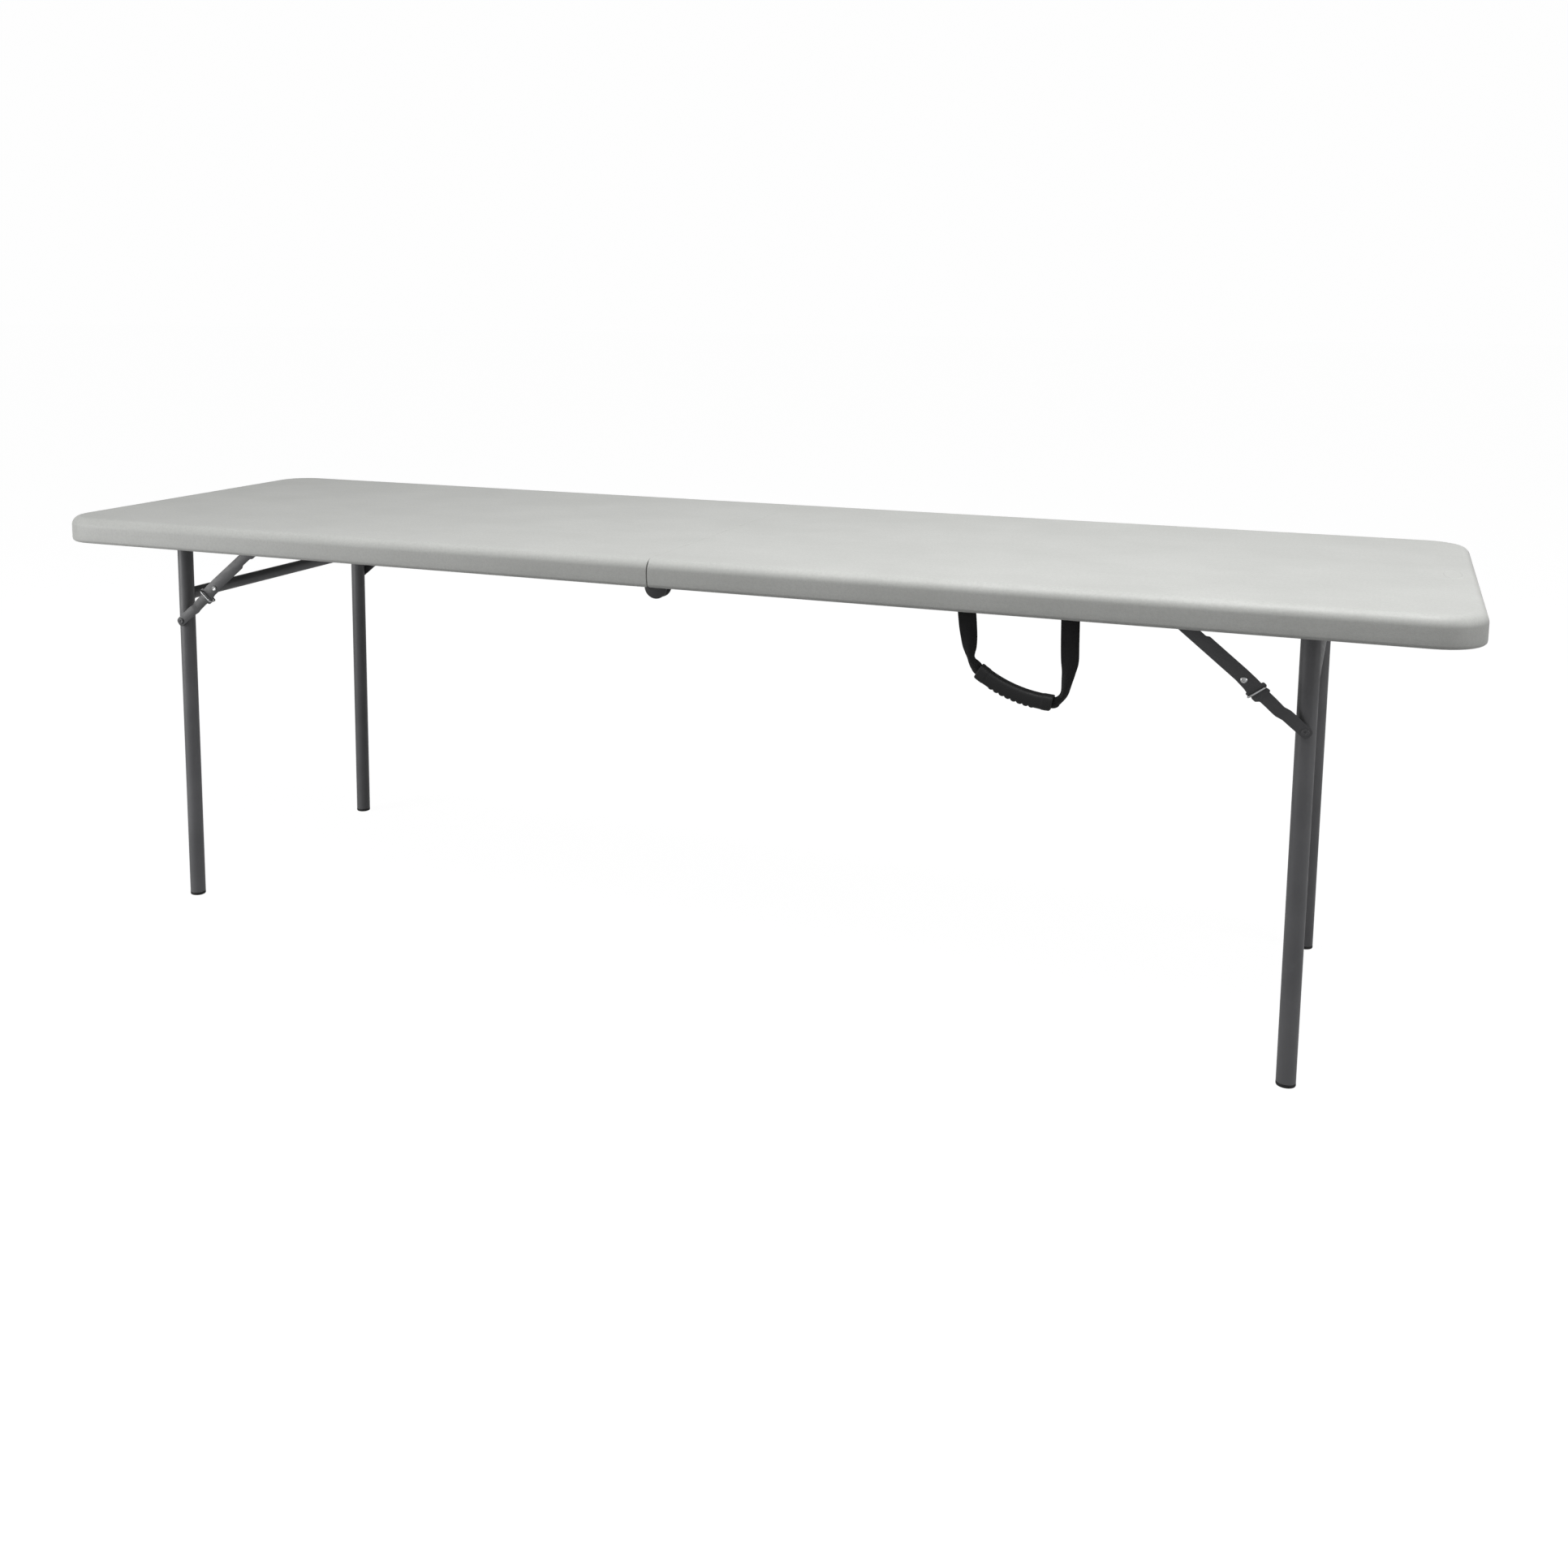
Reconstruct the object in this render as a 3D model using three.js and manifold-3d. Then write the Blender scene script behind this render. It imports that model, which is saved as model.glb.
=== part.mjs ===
// Fold-in-half banquet table: two blow-moulded top halves on steel rails, joined by a two-pin
// centre hinge, with a folding leg frame and two lockable folding braces under each half.
// Millimetres, +Z up, origin on the floor under the table's centre, X along the length,
// -Y towards the side that carries the handle.
import * as THREE from 'three';
import { mergeVertices } from 'three/addons/utils/BufferGeometryUtils.js';
import Module from 'manifold-3d';

const wasm = await Module();
wasm.setup();

// Tabletop
const LENGTH = 2440;
const WIDTH = 760;
const HEIGHT = 737;
const RIM_DEPTH = 47;
const CORNER_R = 72;
const TOP_EDGE_R = 17.4;
const BOTTOM_EDGE_R = 6;
const SEAM_EDGE_R = 4;
const SEAM_GAP = 0.3;
const RIM_THICKNESS = 32;
const SEAM_WALL = 30;
const TOP_THICKNESS = 12.5;
const RECESS_CORNER_R = 42;

// Steel rails, one along each long side of each half
const RAIL_WIDTH = 23;
const RAIL_HEIGHT = 27;
const RAIL_WALL = 1.6;
const RAIL_CORNER_R = 3;
const RAIL_START = 34;
const RAIL_END = 1062;
const RAIL_TO_WALL = 1.5;

// Leg frames
const LEG_X = 995;
const LEG_Y = 286;
const LEG_R = 14.3;
const LEG_WALL = 1.6;
const PIVOT_Z = 705.5;
const LEG_ABOVE_PIVOT = 5;
const PIVOT_BAR_R = 12.7;
const PIVOT_PIN_R = 6;
const PIVOT_PIN_CHAMFER = 0.8;
const PIVOT_PIN_PROUD = 0.9;
const CROSSBAR_Z = 590;
const CROSSBAR_R = 11.1;
const FOOT_HEIGHT = 5;
const FOOT_PLUG = 20;
const FOOT_CHAMFER = 1.6;

// Folding braces: a four-bar linkage between rail and leg. Inboard means towards the table's
// middle, measured from the leg's pivot.
const RAIL_PIN_INBOARD = 201;
const ELBOW_INBOARD = 86.4;
const BRACE_ON_LEG_Z = 541;
const ELBOW_RISE = 70.7;
const LINK_THICKNESS = 3;
const UPPER_HALF_WIDTH = 11.3;
const UPPER_TAIL = 28;
const UPPER_EAR = 20;
const UPPER_EAR_HALF = 13.5;
const UPPER_EAR_TIP = 2.5;
const UPPER_EAR_ROOT = 4;
const UPPER_END_CORNER = 3;
const TAIL_CORNER = 2.5;
const LOWER_HALF_WIDTH = 9.8;
const LOWER_NECK_HALF = 8;
const LOWER_EAR = 33.5;
const LOWER_EAR_HALF = 15;
const LOWER_EAR_TIP = 3;
const LOWER_EAR_ROOT = 6;
const NOTCH_FROM = 76;
const NOTCH_TO = 105;
const NOTCH_DEPTH = 3;
const NOTCH_RAMP = 5;
const RIVET_R = 4;
const RIVET_HEAD_R = 7;
const RIVET_HEAD_HEIGHT = 2;
const RIVET_BACK_HEIGHT = 1.2;
const SPACER_R = 6.5;

// Distances of the brace layers from the table's centre plane
const LOWER_LINK_Y = 305.6;
const UPPER_LINK_Y = 311;
const RING_CENTRE_Y = 310.1;

// Lock ring of bent wire that slides along the upper link
const RING_BELOW_ELBOW = 26;
const RING_INNER_HALF = 14;
const RING_WIRE = 3;
const RING_DEPTH = 18.6;
const RING_CORNER_R = 5;

// Centre hinge: two pins through a pair of round cheeks, with a cranked leaf on each side
const HINGE_PIN_X = 9;
const HINGE_PIN_Z = 687;
const HINGE_PIN_R = 4;
const CHEEK_R = 19.5;
const CHEEK_Z = 686;
const CHEEK_THICKNESS = 3;
const HINGE_HEAD_R = 6;
const HINGE_HEAD_HEIGHT = 0.8;
const HINGE_HEAD_CHAMFER = 0.4;
const HINGE_SLOT_CLEARANCE = 3.5;
const LEAF_WIDTH = 16;
const LEAF_EYE_R = 8.5;
const LEAF_TONGUE = 42;
const LEAF_HALF_HEIGHT = 10.5;
const LEAF_CRANK_RUN = 10;
const LEAF_CRANK_DROP = 9;
const LEAF_CRANK_BACK = 2;

// Carrying handle: a webbing strap through a moulded grip, hung under the front rim
const HANDLE_Y = -349;
const HANDLE_Z = 688;
const STRAP_LEFT_X = 512;
const STRAP_RIGHT_X = 666;
const STRAP_THICKNESS = 2.4;
const STRAP_HALF_WIDTH = 12.7;
const STRAP_HALF_IN_GRIP = 6.5;
const STRAP_STEPS = 32;
const GRIP_HALF_HEIGHT = 12;
const GRIP_HALF_DEPTH = 11;
const GRIP_CORNER_R = 8.5;
const GRIP_CHANNEL_CORNER_R = 0.6;
const GRIP_CLEARANCE = 1;
const GRIP_START = new THREE.Vector2(532.5, 598.2);
const GRIP_END = new THREE.Vector2(644, 559);
const GRIP_SAG = 9;
const ANCHOR_HALF_WIDTH = 15;
const ANCHOR_LIP = 2;
const ANCHOR_SHELF = 2.7;
const ANCHOR_PAST_RAIL = 2;

// Gaps: between touching fixed pieces, and around a shaft that turns in a hole
const GAP = 0.3;
const RUNNING = 0.1;
const PIVOT_RUNNING = 0.25;

const half = { length: LENGTH / 2, width: WIDTH / 2 };
const rimBottom = HEIGHT - RIM_DEPTH;
const ceiling = HEIGHT - TOP_THICKNESS;
const recessHalfWidth = half.width - RIM_THICKNESS;
const railTop = ceiling - GAP;
const railZ = railTop - RAIL_HEIGHT / 2;
const railY = recessHalfWidth - RAIL_TO_WALL - RAIL_WIDTH / 2;
const railInnerY = railY - RAIL_WIDTH / 2;
const railOuterY = railY + RAIL_WIDTH / 2;
const legOuterY = LEG_Y + LEG_R;
const legInnerY = LEG_Y - LEG_R;
const elbowZ = BRACE_ON_LEG_Z + ELBOW_RISE;
const upperLength = Math.hypot(RAIL_PIN_INBOARD - ELBOW_INBOARD, PIVOT_Z - elbowZ);
const lowerLength = Math.hypot(ELBOW_INBOARD, ELBOW_RISE);
const braceAngle = Math.atan2(ELBOW_RISE, ELBOW_INBOARD);

const material = (color, roughness, metalness) =>
  new THREE.MeshStandardMaterial({ color, roughness, metalness });
const plastic = material(0xc9c7be, 0.62, 0);
const steel = material(0x3c3e41, 0.55, 0.4);
const zinc = material(0xb9bdc0, 0.32, 0.9);
const webbing = material(0x17181a, 0.9, 0);
const rubber = material(0x141416, 0.7, 0);

const table = new THREE.Group();

function addMesh(name, geometry, look, parent = table) {
  const mesh = new THREE.Mesh(geometry, look);
  mesh.name = name;
  parent.add(mesh);
  return mesh;
}

// Booleans between closed geometries

function toSolid(geometry) {
  const bare = new THREE.BufferGeometry();
  bare.setAttribute('position', geometry.getAttribute('position').clone());
  if (geometry.index) bare.setIndex(geometry.index.clone());
  const merged = mergeVertices(bare, 1e-4);
  return new wasm.Manifold(new wasm.Mesh({
    numProp: 3,
    vertProperties: new Float32Array(merged.getAttribute('position').array),
    triVerts: new Uint32Array(merged.index.array),
  }));
}

function toGeometry(solid) {
  const mesh = solid.getMesh();
  const geometry = new THREE.BufferGeometry();
  geometry.setAttribute('position', new THREE.BufferAttribute(mesh.vertProperties, 3));
  geometry.setIndex(new THREE.BufferAttribute(mesh.triVerts, 1));
  geometry.computeVertexNormals();
  return geometry;
}

function cut(body, cutters) {
  return toGeometry(cutters.reduce((solid, cutter) => solid.subtract(toSolid(cutter)), toSolid(body)));
}

function common(bodies) {
  const [first, ...others] = bodies.map(toSolid);
  return toGeometry(others.reduce((solid, other) => solid.intersect(other), first));
}

// Shapes

function roundedRectangle(x0, y0, x1, y1, radius, Kind = THREE.Shape) {
  const shape = new Kind();
  shape.moveTo(x1 - radius, y0);
  shape.absarc(x1 - radius, y0 + radius, radius, -Math.PI / 2, 0);
  shape.absarc(x1 - radius, y1 - radius, radius, 0, Math.PI / 2);
  shape.absarc(x0 + radius, y1 - radius, radius, Math.PI / 2, Math.PI);
  shape.absarc(x0 + radius, y0 + radius, radius, Math.PI, Math.PI * 1.5);
  shape.closePath();
  return shape;
}

// An outline in the XY plane with its top and bottom edges rounded, from z0 to z1
function roundedSlab(shape, z0, z1, edge, curveSegments, edgeSegments) {
  const geometry = new THREE.ExtrudeGeometry(shape, {
    depth: z1 - z0 - 2 * edge,
    curveSegments,
    bevelEnabled: true,
    bevelThickness: edge,
    bevelSize: edge,
    bevelOffset: -edge,
    bevelSegments: edgeSegments,
  });
  return geometry.translate(0, 0, z0 + edge);
}

// A flat plate drawn in the XZ plane, with its thickness along +Y from y = 0
function plate(shape, thickness, curveSegments = 8) {
  const geometry = new THREE.ExtrudeGeometry(shape, { depth: thickness, curveSegments, bevelEnabled: false });
  return geometry.rotateX(Math.PI / 2).translate(0, thickness, 0);
}

// A turned piece about the Y axis. Each step is [radius, y], and the ends close on the axis.
function turned(steps, segments = 12) {
  const points = steps.map(([radius, y]) => new THREE.Vector2(radius, y));
  return new THREE.LatheGeometry(points, segments);
}

function rodAlongY(radius, y0, y1, x, z, segments = 16) {
  const rod = new THREE.CylinderGeometry(radius, radius, y1 - y0, segments);
  return rod.translate(x, (y0 + y1) / 2, z);
}

function box(x0, y0, z0, x1, y1, z1) {
  const geometry = new THREE.BoxGeometry(x1 - x0, y1 - y0, z1 - z0);
  return geometry.translate((x0 + x1) / 2, (y0 + y1) / 2, (z0 + z1) / 2);
}

// Top halves

// The right half. Its seam end faces X = 0. The left half is the same moulding turned about.
function makeTopHalf() {
  const beyond = 60;
  const seamX = SEAM_GAP / 2;
  const outline = roundedRectangle(-beyond, -half.width, half.length, half.width, CORNER_R);
  const crown = roundedSlab(outline, rimBottom - TOP_EDGE_R, HEIGHT, TOP_EDGE_R, 9, 5);
  const skirt = roundedSlab(outline, rimBottom, HEIGHT + BOTTOM_EDGE_R, BOTTOM_EDGE_R, 9, 2);
  const seamOutline = roundedRectangle(
    seamX, -half.width - beyond, half.length + beyond, half.width + beyond, beyond / 2);
  const seamEnd = roundedSlab(seamOutline, rimBottom - SEAM_EDGE_R, HEIGHT, SEAM_EDGE_R, 2, 3);
  const blank = common([crown, skirt, seamEnd]);
  const recessOutline = roundedRectangle(
    SEAM_WALL, -recessHalfWidth, half.length - RIM_THICKNESS, recessHalfWidth, RECESS_CORNER_R);
  const recess = new THREE.ExtrudeGeometry(recessOutline, {
    depth: TOP_THICKNESS + beyond, curveSegments: 6, bevelEnabled: false });
  recess.translate(0, 0, ceiling - TOP_THICKNESS - beyond);
  const notches = [-1, 1].map((side) => {
    const inner = side * (railInnerY - HINGE_SLOT_CLEARANCE);
    const outer = side * recessHalfWidth;
    const [y0, y1] = [Math.min(inner, outer), Math.max(inner, outer)];
    return box(-beyond, y0, rimBottom - beyond, SEAM_WALL + RECESS_CORNER_R, y1, ceiling);
  });
  return cut(blank, [recess, ...notches]);
}

const topHalf = makeTopHalf();
addMesh('right_top', topHalf, plastic);
addMesh('left_top', topHalf, plastic).rotation.z = Math.PI;

// Rails. A rail is drawn for the right half and turned about for the left.

function makeRail() {
  const w = RAIL_WIDTH / 2;
  const h = RAIL_HEIGHT / 2;
  const section = roundedRectangle(-w, -h, w, h, RAIL_CORNER_R);
  section.holes.push(roundedRectangle(
    -w + RAIL_WALL, -h + RAIL_WALL, w - RAIL_WALL, h - RAIL_WALL, RAIL_CORNER_R - RAIL_WALL, THREE.Path));
  const bar = new THREE.ExtrudeGeometry(section, {
    depth: RAIL_END - RAIL_START, curveSegments: 2, bevelEnabled: false });
  // The section's X goes to Y and its Y to Z, and the length runs along X
  bar.applyMatrix4(new THREE.Matrix4().set(0, 0, 1, RAIL_START, 1, 0, 0, 0, 0, 1, 0, railZ, 0, 0, 0, 1));
  const pivotHole = rodAlongY(PIVOT_PIN_R + PIVOT_RUNNING, -w - 1, w + 1, LEG_X, PIVOT_Z);
  const braceHole = rodAlongY(RIVET_R + RUNNING, -w - 1, w + 1, LEG_X - RAIL_PIN_INBOARD, PIVOT_Z);
  return cut(bar, [pivotHole, braceHole]);
}

const rail = makeRail();

// Centre hinge leaf for the right half: a tongue in the rail's end, cranked down to an eye

function makeLeaf() {
  const low = railZ - LEAF_HALF_HEIGHT;
  const high = railZ + LEAF_HALF_HEIGHT;
  const shape = new THREE.Shape();
  shape.moveTo(RAIL_START + LEAF_TONGUE, low);
  shape.lineTo(RAIL_START + LEAF_TONGUE, high);
  shape.lineTo(RAIL_START, high);
  shape.lineTo(RAIL_START - LEAF_CRANK_RUN, high - LEAF_CRANK_DROP);
  shape.absarc(HINGE_PIN_X, HINGE_PIN_Z, LEAF_EYE_R, Math.PI * 0.35, Math.PI * 1.65);
  shape.lineTo(RAIL_START - LEAF_CRANK_BACK, low);
  shape.closePath();
  const blank = plate(shape, LEAF_WIDTH).translate(0, -LEAF_WIDTH / 2, 0);
  const eye = rodAlongY(HINGE_PIN_R + RUNNING, -LEAF_WIDTH, LEAF_WIDTH, HINGE_PIN_X, HINGE_PIN_Z);
  return cut(blank, [eye]);
}

function makeCheek() {
  const disc = rodAlongY(CHEEK_R, 0, CHEEK_THICKNESS, 0, CHEEK_Z, 28);
  const holes = [-1, 1].map((side) => rodAlongY(
    HINGE_PIN_R + RUNNING, -1, CHEEK_THICKNESS + 1, side * HINGE_PIN_X, HINGE_PIN_Z));
  return cut(disc, holes);
}

const leaf = makeLeaf();
const cheek = makeCheek();
const cheekFace = LEAF_WIDTH / 2 + CHEEK_THICKNESS + 2 * GAP;
const pinEnd = cheekFace + HINGE_HEAD_HEIGHT;
const hingePin = turned([
  [0, -pinEnd],
  [HINGE_HEAD_R - HINGE_HEAD_CHAMFER, -pinEnd],
  [HINGE_HEAD_R, -cheekFace],
  [HINGE_PIN_R, -cheekFace],
  [HINGE_PIN_R, cheekFace],
  [HINGE_HEAD_R, cheekFace],
  [HINGE_HEAD_R - HINGE_HEAD_CHAMFER, pinEnd],
  [0, pinEnd],
]);

const sides = [
  { name: 'left', x: -1, turn: Math.PI },
  { name: 'right', x: 1, turn: 0 },
];
const rows = [
  { name: 'front', y: -1 },
  { name: 'rear', y: 1 },
];

for (const side of sides) {
  for (const row of rows) {
    for (const [piece, geometry] of [['rail', rail], ['hinge_leaf', leaf]]) {
      const mesh = addMesh(`${side.name}_${row.name}_${piece}`, geometry, steel);
      mesh.rotation.z = side.turn;
      mesh.position.y = row.y * railY;
    }
    const pin = addMesh(`${side.name}_${row.name}_hinge_pin`, hingePin, zinc);
    pin.position.set(side.x * HINGE_PIN_X, row.y * railY, HINGE_PIN_Z);
  }
}

for (const row of rows) {
  const outer = addMesh(`${row.name}_hinge_cheek_outer`, cheek, steel);
  const inner = addMesh(`${row.name}_hinge_cheek_inner`, cheek, steel);
  const outerFace = LEAF_WIDTH / 2 + GAP;
  const [near, far] = row.y < 0 ? [outer, inner] : [inner, outer];
  near.position.y = row.y * railY - outerFace - CHEEK_THICKNESS;
  far.position.y = row.y * railY + outerFace;
}

// Leg frames

function makeLegTube() {
  const low = FOOT_HEIGHT + GAP;
  const high = PIVOT_Z + LEG_ABOVE_PIVOT;
  const inner = LEG_R - LEG_WALL;
  const tube = turned([[inner, low], [LEG_R, low], [LEG_R, high], [inner, high], [inner, low]], 20);
  tube.rotateX(Math.PI / 2);
  return cut(tube, [rodAlongY(PIVOT_PIN_R + GAP, -LEG_R - 1, LEG_R + 1, 0, PIVOT_Z)]);
}

function makeFootCap() {
  const plug = LEG_R - LEG_WALL - GAP;
  return turned([
    [0, 0],
    [LEG_R - FOOT_CHAMFER, 0],
    [LEG_R, FOOT_CHAMFER],
    [LEG_R, FOOT_HEIGHT],
    [plug, FOOT_HEIGHT],
    [plug, FOOT_HEIGHT + FOOT_PLUG],
    [0, FOOT_HEIGHT + FOOT_PLUG],
  ], 20).rotateX(Math.PI / 2);
}

// A bar between the legs. Its necked ends run through the legs and turn in the rails.
function makePivotBar() {
  const shoulder = legInnerY - GAP;
  const end = railOuterY + PIVOT_PIN_PROUD;
  return turned([
    [0, -end],
    [PIVOT_PIN_R - PIVOT_PIN_CHAMFER, -end],
    [PIVOT_PIN_R, -end + PIVOT_PIN_CHAMFER],
    [PIVOT_PIN_R, -shoulder],
    [PIVOT_BAR_R, -shoulder],
    [PIVOT_BAR_R, shoulder],
    [PIVOT_PIN_R, shoulder],
    [PIVOT_PIN_R, end - PIVOT_PIN_CHAMFER],
    [PIVOT_PIN_R - PIVOT_PIN_CHAMFER, end],
    [0, end],
  ], 16);
}

const legTube = makeLegTube();
const footCap = makeFootCap();
const pivotBar = makePivotBar();
const crossbar = rodAlongY(CROSSBAR_R, -legInnerY + GAP, legInnerY - GAP, 0, 0);

for (const side of sides) {
  addMesh(`${side.name}_pivot_bar`, pivotBar, steel).position.set(side.x * LEG_X, 0, PIVOT_Z);
  addMesh(`${side.name}_crossbar`, crossbar, steel).position.set(side.x * LEG_X, 0, CROSSBAR_Z);
  for (const row of rows) {
    addMesh(`${side.name}_${row.name}_leg`, legTube, steel).position.set(side.x * LEG_X, row.y * LEG_Y, 0);
    addMesh(`${side.name}_${row.name}_foot`, footCap, rubber).position.set(side.x * LEG_X, row.y * LEG_Y, 0);
  }
}

// Braces. A link is drawn along X from the elbow, and hand says which edge has the notch. Both
// links of a row are the same stamping, and the rear row's are turned over.

function makeUpperLink(hand) {
  const w = UPPER_HALF_WIDTH;
  const end = upperLength + w;
  const shape = new THREE.Shape();
  const lowerEdge = [
    [-UPPER_TAIL, -w + TAIL_CORNER],
    [-UPPER_TAIL + TAIL_CORNER, -w],
    [-UPPER_EAR - UPPER_EAR_ROOT, -w],
    [-UPPER_EAR - UPPER_EAR_TIP, -UPPER_EAR_HALF],
    [-UPPER_EAR + UPPER_EAR_TIP, -UPPER_EAR_HALF],
    [-UPPER_EAR + UPPER_EAR_ROOT, -w],
    [upperLength, -w],
    [end - UPPER_END_CORNER, -w + UPPER_END_CORNER],
    [end, -UPPER_END_CORNER],
  ];
  const upperEdge = lowerEdge.map(([along, across]) => [along, -across]).reverse();
  const notch = [
    [NOTCH_TO, w],
    [NOTCH_TO - NOTCH_RAMP, w - NOTCH_DEPTH],
    [NOTCH_FROM + NOTCH_RAMP, w - NOTCH_DEPTH],
    [NOTCH_FROM, w],
  ];
  const beforeNotch = upperEdge.filter(([along]) => along > NOTCH_TO);
  const afterNotch = upperEdge.filter(([along]) => along < NOTCH_FROM);
  const outline = [...lowerEdge, ...beforeNotch, ...notch, ...afterNotch];
  shape.setFromPoints(outline.map(([along, across]) => new THREE.Vector2(along, hand * across)));
  return drilled(plate(shape, LINK_THICKNESS), [0, upperLength]);
}

// The lower link runs towards -X, down to the leg
function makeLowerLink() {
  const w = LOWER_HALF_WIDTH;
  const neck = LOWER_NECK_HALF;
  const ear = LOWER_EAR_HALF;
  const lower = [
    [-LOWER_EAR + LOWER_EAR_ROOT, neck],
    [-LOWER_EAR + LOWER_EAR_TIP, ear],
    [-LOWER_EAR - LOWER_EAR_TIP, ear],
    [-LOWER_EAR - LOWER_EAR_ROOT, w],
  ];
  const shape = new THREE.Shape();
  shape.absarc(0, 0, neck, -Math.PI / 2, Math.PI / 2);
  lower.forEach(([along, across]) => shape.lineTo(along, across));
  shape.absarc(-lowerLength, 0, w, Math.PI / 2, Math.PI * 1.5);
  lower.reverse().forEach(([along, across]) => shape.lineTo(along, -across));
  shape.closePath();
  return drilled(plate(shape, LINK_THICKNESS), [0, -lowerLength]);
}

function drilled(link, places) {
  return cut(link, places.map((x) => rodAlongY(RIVET_R + RUNNING, -1, LINK_THICKNESS + 1, x, 0)));
}

function makeLockRing() {
  const inner = RING_INNER_HALF;
  const outer = inner + RING_WIRE;
  const deep = RING_DEPTH / 2;
  const bevel = RING_WIRE / 3;
  const shape = roundedRectangle(-outer, -deep, outer, deep, RING_CORNER_R);
  shape.holes.push(roundedRectangle(
    -inner, -deep + RING_WIRE, inner, deep - RING_WIRE, RING_CORNER_R - RING_WIRE, THREE.Path));
  const ring = new THREE.ExtrudeGeometry(shape, {
    depth: RING_WIRE - 2 * bevel,
    curveSegments: 2,
    bevelEnabled: true,
    bevelThickness: bevel,
    bevelSize: bevel,
    bevelOffset: -bevel,
    bevelSegments: 1,
  });
  // The loop stands across the link: its width along Z, its depth along Y
  ring.translate(0, 0, bevel - RING_WIRE / 2);
  return ring.rotateX(Math.PI / 2).rotateZ(Math.PI / 2).rotateX(Math.PI / 2);
}

// Rivets and pins of one brace, turned about Y, with y measured out from the centre plane

// A rivet head on the face at y, that swells towards away (1 or -1), from its edge to its crown
function rivetHead(face, away) {
  const crown = face + away * RIVET_HEAD_HEIGHT;
  return [
    [RIVET_HEAD_R, face],
    [RIVET_HEAD_R * 0.8, face + away * RIVET_HEAD_HEIGHT * 0.75],
    [RIVET_HEAD_R * 0.4, crown],
    [0, crown],
  ];
}

// A washer-like spacer on the shank, between two faces
const spacer = (from, to) => [[RIVET_R, from], [SPACER_R, from], [SPACER_R, to], [RIVET_R, to]];

const lowerFace = LOWER_LINK_Y + LINK_THICKNESS;
const upperFace = UPPER_LINK_Y + LINK_THICKNESS;
const lowerBack = LOWER_LINK_Y - GAP;
const upperBack = UPPER_LINK_Y - GAP;
const railPinEnd = railOuterY + PIVOT_PIN_PROUD;
const flatBack = [
  [0, lowerBack - RIVET_BACK_HEIGHT],
  [SPACER_R, lowerBack - RIVET_BACK_HEIGHT],
  [RIVET_HEAD_R, lowerBack],
];
const braceTurnings = {
  elbow_rivet: [
    ...flatBack,
    [RIVET_R, lowerBack],
    ...spacer(lowerFace + GAP, upperBack),
    [RIVET_R, upperFace + GAP],
    ...rivetHead(upperFace + GAP, 1),
  ],
  leg_rivet: [
    [0, legOuterY + GAP],
    [SPACER_R, legOuterY + GAP],
    [SPACER_R, lowerBack],
    [RIVET_R, lowerBack],
    [RIVET_R, lowerFace + GAP],
    ...rivetHead(lowerFace + GAP, 1),
  ],
  rail_pin: [
    ...rivetHead(upperBack, -1).reverse(),
    [RIVET_R, upperBack],
    ...spacer(upperFace + GAP, railInnerY - GAP),
    [RIVET_R, railPinEnd],
    [0, railPinEnd],
  ],
};

const upperLinks = { front: makeUpperLink(-1), rear: makeUpperLink(1) };
const lowerLink = makeLowerLink();
const lockRing = makeLockRing();

for (const side of sides) {
  const place = (inboard) => side.x * (LEG_X - inboard);
  const elbow = { x: place(ELBOW_INBOARD), z: elbowZ };
  const slope = side.x > 0 ? Math.PI - braceAngle : braceAngle;
  const centres = {
    elbow_rivet: elbow,
    leg_rivet: { x: place(0), z: BRACE_ON_LEG_Z },
    rail_pin: { x: place(RAIL_PIN_INBOARD), z: PIVOT_Z },
  };
  for (const row of rows) {
    const brace = `${side.name}_${row.name}_brace`;
    const inner = (y) => (row.y > 0 ? y : -y - LINK_THICKNESS);
    const upper = addMesh(`${brace}_upper_link`, upperLinks[row.name], steel);
    upper.position.set(elbow.x, inner(UPPER_LINK_Y), elbow.z);
    upper.rotation.y = -slope;
    const lower = addMesh(`${brace}_lower_link`, lowerLink, steel);
    lower.position.set(elbow.x, inner(LOWER_LINK_Y), elbow.z);
    lower.rotation.y = -slope;
    const ring = addMesh(`${brace}_lock_ring`, lockRing, zinc);
    ring.position.set(
      elbow.x - RING_BELOW_ELBOW * Math.cos(slope),
      row.y * RING_CENTRE_Y,
      elbow.z - RING_BELOW_ELBOW * Math.sin(slope));
    ring.rotation.y = -slope;
    for (const [piece, steps] of Object.entries(braceTurnings)) {
      const mesh = addMesh(`${brace}_${piece}`, turned(steps), piece === 'leg_rivet' ? steel : zinc);
      mesh.position.set(centres[piece].x, 0, centres[piece].z);
      mesh.rotation.z = row.y > 0 ? 0 : Math.PI;
    }
  }
}

// Carrying handle, in the XZ plane at HANDLE_Y

const gripChord = GRIP_END.clone().sub(GRIP_START);
const gripDown = new THREE.Vector2(gripChord.y, -gripChord.x).normalize();
const gripBend = GRIP_START.clone().lerp(GRIP_END, 0.5).addScaledVector(gripDown, 2 * GRIP_SAG);
const gripLine = new THREE.QuadraticBezierCurve(GRIP_START, gripBend, GRIP_END);
const strapTop = HANDLE_Z + STRAP_THICKNESS / 2;

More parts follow.
